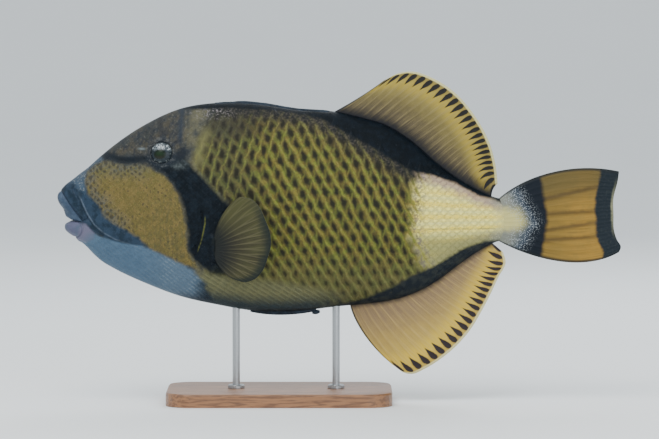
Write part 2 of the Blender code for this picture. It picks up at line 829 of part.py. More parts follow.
def stand_rod(name, rows, x):
    top = AXIS_HEIGHT + keel_at(rows, x) + ROD_SEAT - GAP
    profile = (
        (ROD_RADIUS, BASE_THICK - ROD_SEAT + GAP), (ROD_RADIUS, BASE_THICK + GAP),
        (COLLAR_RADIUS, BASE_THICK + GAP), (COLLAR_RADIUS, BASE_THICK + COLLAR_HEIGHT - 1.0),
        (COLLAR_RADIUS - 1.0, BASE_THICK + COLLAR_HEIGHT), (ROD_RADIUS, BASE_THICK + COLLAR_HEIGHT),
        (ROD_RADIUS, top - 0.8), (ROD_RADIUS - 0.8, top),
    )
    return lathe(name, x, profile, ROD_SIDES)


def rod_hole(rows, x):
    low = AXIS_HEIGHT + keel_at(rows, x) - 12.0
    high = AXIS_HEIGHT + keel_at(rows, x) + ROD_SEAT
    radius = ROD_RADIUS + GAP
    return lathe("hole", x, ((radius, low), (radius, high)), ROD_SIDES)


def make_head(whole, flank):
    head = copy_object(whole, "head")
    cut_plane(head, HEAD_END - GAP / 2, keep_aft=False)
    boolean(head, [prism("wedge", muzzle_outline(), 60.0)], "DIFFERENCE")
    rims = []
    cutters = []
    eyes = []
    for side, name in ((-1, "eye_left"), (1, "eye_right")):
        out, normal = flank.at(EYE_PLACE[0], EYE_PLACE[1], side)
        place = Vector(to_world((EYE_PLACE[0], side * out, EYE_PLACE[1])))
        rims.append(eye_rim(place, normal))
        eyes.append(eye_ball(name, place, normal, 0.0))
        cutters.append(eye_ball("socket", place, normal, GAP))
        for x, z in NOSTRILS:
            out, normal = flank.at(x, z, side)
            cutters.append(pit(Vector(to_world((x, side * out, z))), normal))
        cutters.append(slot(flank, EYE_GROOVE, side, EYE_GROOVE_WIDTH, EYE_GROOVE_DEPTH, 0.3))
        cutters.append(slot(flank, GILL_SLIT, side, GILL_SLIT_WIDTH, GILL_SLIT_DEPTH, 0.8))
    boolean(head, rims, "UNION")
    boolean(head, cutters, "DIFFERENCE")
    return [head] + eyes


def make_lips(whole):
    lips = []
    for chin, name, shift in ((False, "upper_lip", LIP_GAP_Z), (True, "lower_lip", -LIP_GAP_Z)):
        lip = copy_object(whole, name)
        wedge = prism("wedge", lip_outline(chin, -LIP_GAP_X, shift), 60.0)
        boolean(lip, [wedge], "INTERSECT")
        lips.append(lip)
    return lips


def make_trunk(whole, rows, flank):
    trunk = copy_object(whole, "trunk")
    cut_plane(trunk, HEAD_END + GAP / 2, keep_aft=True)
    cut_plane(trunk, TRUNK_END - GAP / 2, keep_aft=False)
    pads = []
    fins = []
    middle = sum(PECTORAL_ROOT) / 2
    for side, name in ((-1, "pectoral_fin_left"), (1, "pectoral_fin_right")):
        out = flank.at(PECTORAL_X, middle, side)[0] + PECTORAL_STANDOFF
        pads.append(pectoral_pad(out, side))
        fins.append(pectoral_fin(name, out, side))
    boolean(trunk, pads, "UNION")
    cutters = [spiny_groove(rows)] + [rod_hole(rows, x) for _, x in ROD_PLACES]
    boolean(trunk, cutters, "DIFFERENCE")
    return [trunk] + fins


def make_stalk(whole):
    stalk = copy_object(whole, "tail_stalk")
    cut_plane(stalk, TRUNK_END + GAP / 2, keep_aft=True)
    return stalk


def finish_part(obj, collection):
    bpy.context.scene.collection.objects.unlink(obj)
    collection.objects.link(obj)
    material = bpy.data.materials.new(obj.name)
    material.use_nodes = True
    shader = material.node_tree.nodes["Principled BSDF"]
    red, green, blue = COLOURS[obj.name]
    shader.inputs["Base Color"].default_value = (red, green, blue, 1.0)
    shader.inputs["Roughness"].default_value = 0.25 if obj.name in METAL else 0.5
    shader.inputs["Metallic"].default_value = 1.0 if obj.name in METAL else 0.0
    material.diffuse_color = (red, green, blue, 1.0)
    obj.data.materials.clear()
    obj.data.materials.append(material)
    for polygon in obj.data.polygons:
        polygon.material_index = 0
        polygon.use_smooth = not obj.name.startswith("stand_base")
    obj.data.set_sharp_from_angle(angle=math.radians(38))


def main():
    clear_scene()
    rows = body_rows()
    whole = loft("whole", [ring(row) for row in rows])
    flank = Flank(whole)
    parts = make_head(whole, flank)
    parts += make_lips(whole)
    parts += make_trunk(whole, rows, flank)
    parts.append(make_stalk(whole))
    parts.append(spiny_dorsal(rows))
    parts.append(ventral_flap(rows))
    parts.append(median_fin(
        "soft_dorsal_fin", rows, DORSAL_BASE, DORSAL_TIPS, DORSAL_RAYS,
        (DORSAL_LEAD_BOW, DORSAL_TRAIL_BOW), lambda r, x: crest_at(r, x) + GAP, 0.1,
    ))
    parts.append(median_fin(
        "anal_fin", rows, ANAL_BASE, ANAL_TIPS, ANAL_RAYS,
        (ANAL_LEAD_BOW, ANAL_TRAIL_BOW), lambda r, x: keel_at(r, x) - GAP, 0.6,
    ))
    parts.append(tail_fin())
    parts.append(stand_base())
    for name, x in ROD_PLACES:
        parts.append(stand_rod(name, rows, x))
    bpy.data.objects.remove(whole, do_unlink=True)
    collection = bpy.data.collections.new("titan_triggerfish")
    bpy.context.scene.collection.children.link(collection)
    for obj in parts:
        finish_part(obj, collection)


main()
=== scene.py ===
"""Life-size titan triggerfish on a display stand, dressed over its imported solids.

Sizes are millimetres unless a name says otherwise: x is measured aft from the
snout tip, z up from the body's long axis and y out from the middle plane.
"""

import math

import bpy
import numpy as np
from bpy.props import FloatProperty, FloatVectorProperty, IntProperty, PointerProperty
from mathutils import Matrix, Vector

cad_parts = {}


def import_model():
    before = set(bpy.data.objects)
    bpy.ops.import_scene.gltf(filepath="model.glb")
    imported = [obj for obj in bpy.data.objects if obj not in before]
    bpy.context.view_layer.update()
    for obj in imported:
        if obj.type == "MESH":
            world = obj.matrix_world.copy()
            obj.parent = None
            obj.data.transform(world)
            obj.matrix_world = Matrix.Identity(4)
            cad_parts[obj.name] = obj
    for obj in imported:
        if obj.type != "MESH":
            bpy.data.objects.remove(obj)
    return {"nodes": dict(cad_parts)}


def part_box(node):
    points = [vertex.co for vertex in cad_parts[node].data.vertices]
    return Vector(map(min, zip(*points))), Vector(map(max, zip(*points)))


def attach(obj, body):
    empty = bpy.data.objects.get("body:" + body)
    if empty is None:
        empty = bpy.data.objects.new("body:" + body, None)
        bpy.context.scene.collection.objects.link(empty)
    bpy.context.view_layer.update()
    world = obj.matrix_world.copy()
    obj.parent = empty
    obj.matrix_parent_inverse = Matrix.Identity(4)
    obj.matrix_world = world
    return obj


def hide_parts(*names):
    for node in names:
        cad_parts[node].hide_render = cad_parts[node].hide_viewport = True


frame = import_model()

bl_info = {
    "name": "Triggerfish Display Model",
    "version": (1, 0, 0),
    "blender": (4, 5, 0),
    "location": "View3D > Sidebar > Fish",
    "description": "Builds a life-size triggerfish: skin, scales, fins, eyes, stand and stage",
    "category": "Object",
}

MM = 0.001
TOTAL_LENGTH = 600.0
AXIS_HEIGHT = 195.0
SIDES = ((-1, "left"), (1, "right"))

# Muzzle rings from inside the closed mouth to the cheek:
# crest x, z, side x, z, keel x, z, half-width, fullness
MUZZLE = (
    (13.4, 0.4, 28.4, -2.9, 14.5, -2.0, 12.0, 2.0),
    (9.3, 3.0, 29.5, -2.8, 9.9, -3.4, 13.3, 2.0),
    (6.3, 10.8, 30.2, -1.7, 7.1, -6.4, 14.6, 2.0),
    (1.4, 18.1, 30.8, 0.0, 8.0, -11.5, 15.8, 2.0),
    (0.0, 23.4, 31.7, 1.6, 11.3, -14.7, 17.0, 2.0),
    (2.2, 29.8, 32.7, 3.2, 16.1, -18.6, 18.3, 2.0),
    (7.6, 36.6, 34.5, 4.8, 20.4, -23.0, 20.0, 2.0),
    (15.0, 42.2, 37.4, 6.4, 25.7, -25.8, 22.0, 2.0),
    (23.6, 49.0, 41.1, 8.5, 31.0, -30.4, 24.2, 2.0),
    (32.1, 55.4, 45.9, 10.7, 37.4, -37.3, 26.3, 1.98),
    (42.7, 65.0, 52.3, 12.8, 45.9, -44.8, 28.3, 1.96),
    (60.9, 79.9, 64.0, 16.0, 60.9, -53.8, 31.2, 1.94),
    (92.8, 101.0, 93.9, 19.2, 92.8, -68.7, 36.0, 1.9),
)

# Upright body sections: x, crest z, side z, keel z, half-width, fullness
BODY = (
    (130.1, 117.9, 18.0, -82.7, 40.5, 1.87),
    (170.6, 124.4, 15.0, -92.0, 44.5, 1.85),
    (211.1, 123.9, 12.0, -98.6, 46.0, 1.84),
    (258.0, 117.4, 9.0, -98.4, 44.5, 1.82),
    (293.2, 115.2, 7.0, -94.3, 41.5, 1.8),
    (321.9, 108.7, 5.5, -91.4, 38.0, 1.8),
    (348.6, 100.7, 4.0, -88.2, 33.8, 1.8),
    (375.2, 84.4, 2.5, -81.2, 28.6, 1.82),
    (401.9, 61.2, 1.0, -67.7, 22.8, 1.86),
    (428.5, 42.0, 0.0, -48.0, 17.0, 1.92),
    (453.2, 28.6, 0.0, -31.8, 12.4, 2.0),
    (470.1, 22.6, 0.0, -24.0, 9.4, 2.0),
)
# Skin rings that round off inside the tail fin's root
TAIL_CAP = (
    (475.5, 22.0, 0.0, -23.4, 7.4, 2.0),
    (481.0, 20.5, 0.0, -21.9, 4.4, 2.0),
    (485.0, 18.0, 0.0, -19.4, 1.4, 2.0),
)
HEAD_STEP = 0.9
BODY_STEP = 2.3
AROUND = 130
SKIN_DEPTH = 0.35

# Colour borders in side view
CHEEK = (
    (57.7, 62.9), (67.2, 59.7), (76.8, 61.8), (89.6, 60.1), (101.3, 54.7), (114.1, 48.5),
    (122.7, 38.7), (130.1, 25.6), (134.4, 10.7), (137.2, -7.5), (138.6, -32.0),
    (144.5, -41.6), (151.4, -51.2), (135.5, -45.8), (114.1, -36.2), (97.1, -27.7),
    (87.5, -17.6), (71.5, -8.5), (59.8, -3.2), (50.2, 5.3), (43.8, 17.1), (32.1, 28.8),
    (29.9, 41.6), (32.1, 51.2), (40.6, 58.6), (50.2, 62.9),
)
DARK_PATCH = (
    (93.9, 67.1), (100.3, 59.7), (108.8, 54.4), (116.3, 49.0), (124.8, 39.4),
    (132.3, 25.6), (136.5, 10.7), (139.2, -7.5), (140.8, -32.0), (146.1, -41.6),
    (154.6, -49.0), (164.2, -52.2), (171.7, -45.8), (169.6, -33.0), (167.4, -22.4),
    (170.6, -9.6), (178.1, 5.3), (188.7, 12.8), (181.3, 19.2), (174.9, 25.6),
    (166.4, 34.1), (157.8, 43.7), (149.3, 52.2), (140.8, 60.7), (134.4, 69.3),
    (125.9, 71.4), (121.6, 65.0), (114.1, 59.7), (105.6, 59.7),
)
UPPER_LIP = (
    (-12.0, 34.0), (7.0, 38.5), (15.0, 42.0), (27.0, 38.0), (36.0, 30.0), (47.0, 17.0),
    (54.0, 5.0), (64.0, -3.0), (76.0, -9.0), (92.0, -18.0), (96.0, -27.0), (84.0, -26.0),
    (72.0, -24.5), (60.0, -21.5), (46.0, -16.5), (34.0, -10.5), (31.0, -4.5), (14.0, -1.0),
    (-12.0, 1.0),
)
LIP_ROLL = (
    (-12.0, 34.0), (0.0, 33.5), (4.0, 29.8), (8.6, 22.4), (15.0, 12.8), (24.2, 1.1),
    (27.0, -2.5), (14.0, -1.0), (-12.0, 1.0),
)
SNOUT = (
    (2.0, 38.0), (12.0, 50.0), (34.0, 66.0), (46.0, 70.0), (49.0, 64.0), (40.0, 58.0),
    (32.0, 51.0), (30.0, 41.0), (32.0, 29.0), (24.0, 32.0), (15.0, 41.0),
)
JAW = (
    (31.0, -10.0), (46.0, -17.0), (62.0, -20.0), (84.0, -21.0), (97.1, -28.5),
    (114.1, -36.0), (127.0, -42.5), (143.0, -51.5), (158.0, -67.0), (164.0, -84.0),
    (168.0, -110.0), (100.0, -110.0), (60.0, -70.0), (30.0, -46.0), (14.0, -26.0), (22.0, -19.0),
)
LOWER_LIP = (
    (8.0, -2.5), (15.0, -1.2), (31.0, -4.2), (35.0, -9.0), (40.5, -14.0), (39.0, -20.0),
    (30.0, -25.0), (19.0, -21.0), (13.0, -18.5), (6.0, -13.0), (5.0, -6.0),
)
BACK_BAND = (
    (151.4, 117.3), (183.4, 118.4), (226.0, 116.8), (258.0, 112.6), (279.3, 107.7),
    (299.6, 96.8), (319.8, 85.3), (340.1, 74.6), (360.8, 60.7), (374.2, 53.3),
    (385.9, 50.1), (396.5, 48.0), (422.1, 38.9), (436.0, 31.4), (448.8, 25.0),
    (462.6, 21.3),
)
BELLY_BAND = (
    (151.4, -86.3), (178.1, -90.6), (204.7, -94.8), (242.0, -96.0), (279.3, -94.3),
    (311.9, -88.0), (333.7, -81.0), (360.8, -69.1), (374.2, -60.7), (392.3, -52.8),
    (401.9, -48.6), (415.2, -40.5), (428.5, -32.0), (442.4, -26.6), (456.2, -22.8),
)
NET_REAR = (
    (393.0, 62.0), (382.7, 46.9), (377.4, 20.2), (376.3, -6.4), (379.5, -27.7),
    (385.9, -45.8), (394.4, -62.0),
)
NET_FRONT = (
    (174.9, 126.8), (164.2, 114.0), (156.8, 100.2), (150.4, 84.2), (146.0, 68.2),
    (149.3, 54.4), (157.8, 43.7), (166.4, 34.1), (174.9, 25.6), (188.7, 12.8),
    (178.1, 5.3), (170.6, -9.6), (167.4, -22.4), (169.6, -33.0), (171.7, -45.8),
    (160.0, -52.0), (146.0, -62.0), (140.0, -100.0),
)
EYE_SHADOW = ((49.1, 70.3), (57.7, 67.1), (74.7, 62.9), (87.5, 65.0), (98.2, 66.0), (110.0, 60.0),
              (122.0, 63.0), (134.0, 72.0))

# Relief of the head, which ends at a place aft of the snout tip
HEAD_END = 165.0
LIP_FOLD = ((3.0, 31.5), (4.0, 29.8), (8.6, 22.4), (15.0, 12.8), (24.2, 1.1))
CHEEK_FOLD = (
    (21.0, 32.0), (22.5, 27.7), (26.3, 20.8), (32.9, 5.9), (40.5, -5.0), (50.2, -13.3),
    (61.9, -19.7), (72.6, -23.4), (86.0, -28.0),
)
EYE_PLACE = (111.5, 72.5)
EYE_MIDDLE = (EYE_PLACE, (EYE_PLACE[0] + 0.1, EYE_PLACE[1]))
EYE_OUT = (-0.156, 0.943, 0.293)
EYE_GRID = (40, 72)
LID_GRID = (144, 22)
EYE_RADIUS = 12.2
EYE_HALF_DEPTH = 6.5
NOSTRILS = ((93.9, 77.3), (88.0, 74.1))
EYE_GROOVE = ((58.0, 66.0), (67.0, 63.8), (77.0, 62.9), (87.0, 63.8), (96.0, 66.1))
GILL_SLIT = ((154.6, 9.6), (155.0, -0.5), (153.0, -10.7), (150.4, -21.0), (146.6, -30.9))

# Folded first dorsal fin in its groove, and the keel flap
SPINY_START = 166.0
SPINY_END = 291.0
SPINY_GROOVE_HALF = 4.8
SPINY_GROOVE_DEPTH = 4.0
SPINY_RISE = 1.2
SPINES = ((168.0, 232.0, 2.6), (188.0, 256.0, 2.0), (228.0, 280.0, 1.6))
FLAP_START = 205.0
FLAP_END = 275.0
FLAP_HALF = 2.9
FLAP_DEPTH = 3.1
KNOB_LENGTH = 7.0
KNOB_RADIUS = 2.6
SPINY_GRID = (180, 25)
FLAP_GRID = (120, 17)
SPINE_RINGS = 70
KNOB_RINGS = 28

# Fins: base run, tips, ray count, and how the lead and trailing rays bow
DORSAL_BASE = (294.2, 462.0)
DORSAL_TIPS = (
    (347.0, 147.4), (362.4, 155.2), (377.4, 157.1), (398.7, 150.3), (423.2, 134.3),
    (443.4, 110.8), (458.4, 84.2), (466.4, 56.5), (468.6, 37.5),
)
DORSAL_RAYS = 25
DORSAL_SHARES = ((0.0, 0.0), (0.27, 0.26), (0.46, 0.435), (0.62, 0.58), (0.77, 0.705),
                 (0.88, 0.81), (0.94, 0.885), (1.0, 1.0))
DORSAL_BOWS = (((0.5, -1.2), (0.5, -1.6)), ((0.0, 0.6), (1.0, 0.6)))
ANAL_BASE = (311.3, 463.0)
ANAL_TIPS = (
    (360.3, -158.3), (368.8, -164.1), (377.4, -165.5), (390.8, -160.1), (408.3, -149.2),
    (423.2, -137.0), (437.0, -122.0), (454.6, -93.5), (469.7, -62.2), (477.3, -45.5),
    (474.5, -35.5),
)
ANAL_RAYS = 23
ANAL_SHARES = ((0.0, 0.0), (0.09, 0.045), (0.2, 0.15), (0.43, 0.4), (0.67, 0.63), (0.88, 0.81),
               (0.95, 0.9), (1.0, 1.0))
RAY_CROWDING = 0.3
DORSAL_BENDS = ((0.0, 0.0), (0.45, 0.02), (0.7, 0.12), (0.88, 0.27), (0.96, 0.31), (1.0, 0.22))
ANAL_BENDS = ((0.0, 0.0), (0.5, 0.02), (0.7, 0.09), (0.9, 0.2), (0.97, 0.16), (1.0, 0.05))
ANAL_BOWS = (((-12.4, 3.2), (-9.6, -3.4)), ((0.5, 0.5), (1.0, 0.5)))
CAUDAL_ROOT = (22.3, -23.7)
CAUDAL_X = 470.4
CAUDAL_TIPS = (
    (598.0, 50.7), (596.9, 41.6), (592.1, 20.2), (592.4, 4.3), (592.8, -11.7),
    (595.8, -21.8), (600.0, -29.8), (598.0, -35.2),
)
CAUDAL_RAYS = 12
CAUDAL_BOWS = (((-15.9, 14.2), (-7.5, 20.7)), ((-16.9, -10.5), (0.5, -28.7)))
PECTORAL_X = 170.0
PECTORAL_ROOT = (-17.0, -40.5)
PECTORAL_TIPS = (
    (197.0, 27.0), (209.0, 24.6), (216.9, 17.4), (223.5, 3.2), (228.2, -10.7),
    (228.9, -21.7), (224.5, -37.0), (217.9, -51.2), (208.2, -60.7), (197.3, -63.9),
    (187.7, -61.8),
)
PECTORAL_RAYS = 14
PECTORAL_BOWS = (((-7.0, 2.3), (-5.0, 6.7)), ((-3.9, -1.4), (-2.8, -3.3)))
PECTORAL_SPLAY = 20.0
PECTORAL_ROLL = 0.13
PECTORAL_STANDOFF = 3.0
PECTORAL_CUP = 1.6
MEDIAN_ROOT_HALF = 2.2
CAUDAL_ROOT_HALF = 7.6
PECTORAL_ROOT_HALF = 1.9
FIN_TIP_HALF = 0.42
RAY_RIDGE = 0.42
FIN_WAVE = 3.0
CAUDAL_WAVE = 4.0
FIN_ROWS = 44
COLUMNS_PER_RAY = 10
BRANCH_START = 0.42

# Flank net: rows run down and aft, and sag towards both ends of the body
NET_PITCH = 11.83
NET_LEAN = 7.46
NET_ORIGIN_X = 207.4
NET_ROWS = (-9.0, -3.0, -2.0, -1.0, 0.0, 4.0, 8.0, 12.0, 16.0)
NET_ROW_Z = (176.0, 119.4, 109.8, 98.6, 85.8, 32.2, -18.7, -66.7, -112.0)
NET_SAG_Z = (36.2, -33.0, -70.3)
NET_SAG = (42.6, 16.0, 3.2)
NET_SAG_X = 311.3
NET_SAG_REACH = 170.5

# Scales: how many cells of a net are tried each way, the area that can hold them, how far a
# plate's middle and corners may miss the skin, and its longest edge against the others
NET_CELLS = 90
SCALES_X = (-12, 470)
SCALES_Z = (-110, 130)
MIDDLE_MISS = 0.5
CORNER_MISS = 0.7
LONGEST_EDGE = 2.2

# Straight nets of the small scales: origin and the two edges of a cell in side view
HEAD_NET = ((90.0, 20.0), (4.2, -3.6), (4.0, 3.9))
JAW_NET = ((90.0, -50.0), (4.4, -3.6), (3.0, 2.2))
BELLY_NET = ((200.0, -70.0), (8.4, -5.2), (2.4, 3.6))
STALK_NET = ((420.0, 0.0), (4.6, -3.9), (4.6, 3.9))

# Stage, in metres
CAMERA_TARGET = (-0.0106, 0.0, 0.1945)
LIGHTS = (
    # name, place, width, whose power, colour
    ("key", (-0.7, -1.1, 2.2), 1.8, "key", (1.0, 0.99, 0.96)),
    ("fill", (0.9, -2.0, 0.7), 1.6, "fill", (0.92, 0.96, 1.0)),
    ("rim", (0.5, 1.6, 1.5), 1.2, "fill", (0.94, 0.97, 1.0)),
)
ROOM_LIGHT = (224, 230, 234)
ROOM_STRENGTH = 1.25
SENSOR_WIDTH = 36.0
FLOOR_DROP = 0.0002
FLOOR_RADIUS = 13.0
FLOOR_FLAT = 5.4
FLOOR_RISE = 3.4
FLOOR_RINGS = 40
FLOOR_SIDES = 96

SKIN_COLOURS = ("net", "spots", "cheek", "slate", "jaw", "lip", "stalk", "band", "brow")


def world(points):
    """From the fish's millimetres to metres in the model's frame."""
    points = np.asarray(points, float)
    shift = np.array([-TOTAL_LENGTH / 2, 0.0, AXIS_HEIGHT])
    return (points + shift) * MM


def fish_place(place):
    """From a place in the model's frame to the fish's millimetres."""
    return place.x / MM + TOTAL_LENGTH / 2, place.y / MM, place.z / MM - AXIS_HEIGHT


def tint(red, green, blue):
    """Screen colour, 0 to 255, as the linear colour that a shader takes."""
    channels = []
    for value in (red, green, blue):
        share = value / 255
        linear = share / 12.92 if share <= 0.04045 else ((share + 0.055) / 1.055) ** 2.4
        channels.append(round(linear, 4))
    return (*channels, 1.0)


def lengths_along(points):
    """How far along a path each of its points lies."""
    steps = np.linalg.norm(np.diff(points, axis=0), axis=1)
    return np.concatenate([[0.0], np.cumsum(steps)])


def hermite(start, end, start_slope, end_slope, span, t):
    rise = 3 * t * t - 2 * t ** 3
    lead = t ** 3 - 2 * t * t + t
    trail = t ** 3 - t * t
    return start * (1 - rise) + end * rise + (start_slope * lead + end_slope * trail) * span


def smooth_rows(rows, step_at):
    """Resample a table of sizes along a smooth curve, about one step apart."""
    rows = np.array(rows, float)
    place = lengths_along(rows[:, :6])
    slopes = np.gradient(rows, place, axis=0)
    result = []
    for i, span in enumerate(np.diff(place)):
        lead = np.linalg.norm(rows[i + 1][:2] - rows[i][:2])
        keel = np.linalg.norm(rows[i + 1][4:6] - rows[i][4:6])
        count = max(2, round(max(lead, keel) / step_at(i)))
        for k in range(count):
            result.append(hermite(rows[i], rows[i + 1], slopes[i], slopes[i + 1], span, k / count))
    result.append(rows[-1])
    return np.array(result)


def smooth_curve(points, count):
    """Evenly spaced points along a smooth curve through the given ones."""
    points = np.array(points, float)
    place = lengths_along(points)
    slopes = np.gradient(points, place, axis=0)
    fine = []
    for i in range(len(points) - 1):
        for t in np.linspace(0, 1, 12, endpoint=False):
            fine.append(hermite(points[i], points[i + 1], slopes[i], slopes[i + 1],
                                place[i + 1] - place[i], t))
    fine.append(points[-1])
    fine = np.array(fine)
    along = lengths_along(fine)
    wanted = np.linspace(0, along[-1], count)
    return np.column_stack([np.interp(wanted, along, fine[:, k]) for k in range(2)])


def distance_to(path, x, z):
    """Distance from points in side view to a path, and how far along it they are."""
    path = np.array(path, float)
    best = np.full(x.shape, 1e9)
    share = np.zeros(x.shape)
    for i in range(len(path) - 1):
        ax, az = path[i]
        dx, dz = path[i + 1] - path[i]
        t = np.clip(((x - ax) * dx + (z - az) * dz) / (dx * dx + dz * dz), 0, 1)
        far = np.hypot(x - ax - t * dx, z - az - t * dz)
        nearer = far < best
        best = np.where(nearer, far, best)
        share = np.where(nearer, (i + t) / (len(path) - 1), share)
    return best, share


def inside_by(outline, x, z):
    """Signed distance to a closed outline in side view, positive inside."""
    closed = list(outline) + [outline[0]]
    far, _ = distance_to(closed, x, z)
    inside = np.zeros(x.shape, bool)
    for (ax, az), (bx, bz) in zip(closed[:-1], closed[1:]):
        if az == bz:
            continue
        crosses = (az > z) != (bz > z)
        inside ^= crosses & (x < ax + (z - az) * (bx - ax) / (bz - az))
    return np.where(inside, far, -far)


def bump(value):
    """Smooth hump of height one over the run -1 to 1."""
    value = np.clip(np.abs(value), 0, 1)
    return (1 - value * value) ** 2


def mound(value, width, middle=0.0):
    """Smooth mound of height one round a middle value."""
    return np.exp(-((value - middle) / width) ** 2)


def step(value, low, high):
    """Smooth rise from nought to one between two values."""
    t = np.clip((value - low) / (high - low), 0, 1)
    return t * t * (3 - 2 * t)


def net_place(p, q):
    """Side-view place of a point of the flank net."""
    row = p + q
    sag_from = np.interp(row, NET_ROWS, NET_ROW_Z)
    x = NET_ORIGIN_X - NET_PITCH * q + NET_LEAN * row
    z = sag_from - net_sag(sag_from, x)
    return x, z


def net_sag(z, x):
    sag = np.interp(-z, [-h for h in NET_SAG_Z], NET_SAG)
    return sag * ((x - NET_SAG_X) / NET_SAG_REACH) ** 2


def net_coords(x, z):
    """Coordinates of a side-view place on the flank net."""
    high = z.copy()
    for _ in range(14):
        high = z + net_sag(high, x)
    row = np.interp(-high, [-h for h in NET_ROW_Z], NET_ROWS)
    q = -(x - NET_ORIGIN_X - NET_LEAN * row) / NET_PITCH
    return row - q, q


class Marks:
    """Signed distances to the colour borders, ready to look up at any place."""

    LOW_X, HIGH_X, LOW_Z, HIGH_Z = -14.0, 500.0, -116.0, 136.0

    def __init__(self):
        xs = np.arange(self.LOW_X, self.HIGH_X + 1)
        zs = np.arange(self.LOW_Z, self.HIGH_Z + 1)
        x, z = np.meshgrid(xs, zs, indexing="ij")
        far = 400.0
        back = [(-50.0, 117.0)] + list(BACK_BAND) + [(520.0, 0.0), (520.0, far), (-50.0, far)]
        belly = [(-50.0, -86.0)] + list(BELLY_BAND) + [(520.0, -20.0), (520.0, -far), (-50.0, -far)]
        rear = [(396.0, far)] + list(NET_REAR) + [(400.0, -far), (900.0, -far), (900.0, far)]
        front = [(176.0, far)] + list(NET_FRONT) + [(140.0, -far), (900.0, -far), (900.0, far)]
        areas = {"cheek": CHEEK, "dark": DARK_PATCH, "lip": UPPER_LIP, "jaw": JAW,
                 "pink": LOWER_LIP, "back": back, "belly": belly, "rear": rear, "front": front,
                 "roll": LIP_ROLL, "snout": SNOUT}
        lines = {"fold": CHEEK_FOLD, "shadow": EYE_SHADOW, "eye": EYE_MIDDLE, "slit": GILL_SLIT}
        self.names = (*areas, *lines)
        self.layers = np.stack(
            [inside_by(outline, x, z) for outline in areas.values()]
            + [distance_to(path, x, z)[0] for path in lines.values()], axis=-1)

    def at(self, x, z):
        """Distances at side-view places, by the name of each border."""
        s = np.clip(x - self.LOW_X, 0, self.layers.shape[0] - 1.001)
        t = np.clip(z - self.LOW_Z, 0, self.layers.shape[1] - 1.001)
        return dict(zip(self.names, np.moveaxis(sample(self.layers, s, t), -1, 0)))


def sample(grid, s, t):
    """Read a grid between its points."""
    i = np.clip(s.astype(int), 0, grid.shape[0] - 2)
    j = np.clip(t.astype(int), 0, grid.shape[1] - 2)
    fs = (s - i)[..., None]
    ft = (t - j)[..., None]
    near = grid[i, j] * (1 - fs) + grid[i + 1, j] * fs
    far = grid[i, j + 1] * (1 - fs) + grid[i + 1, j + 1] * fs
    return near * (1 - ft) + far * ft


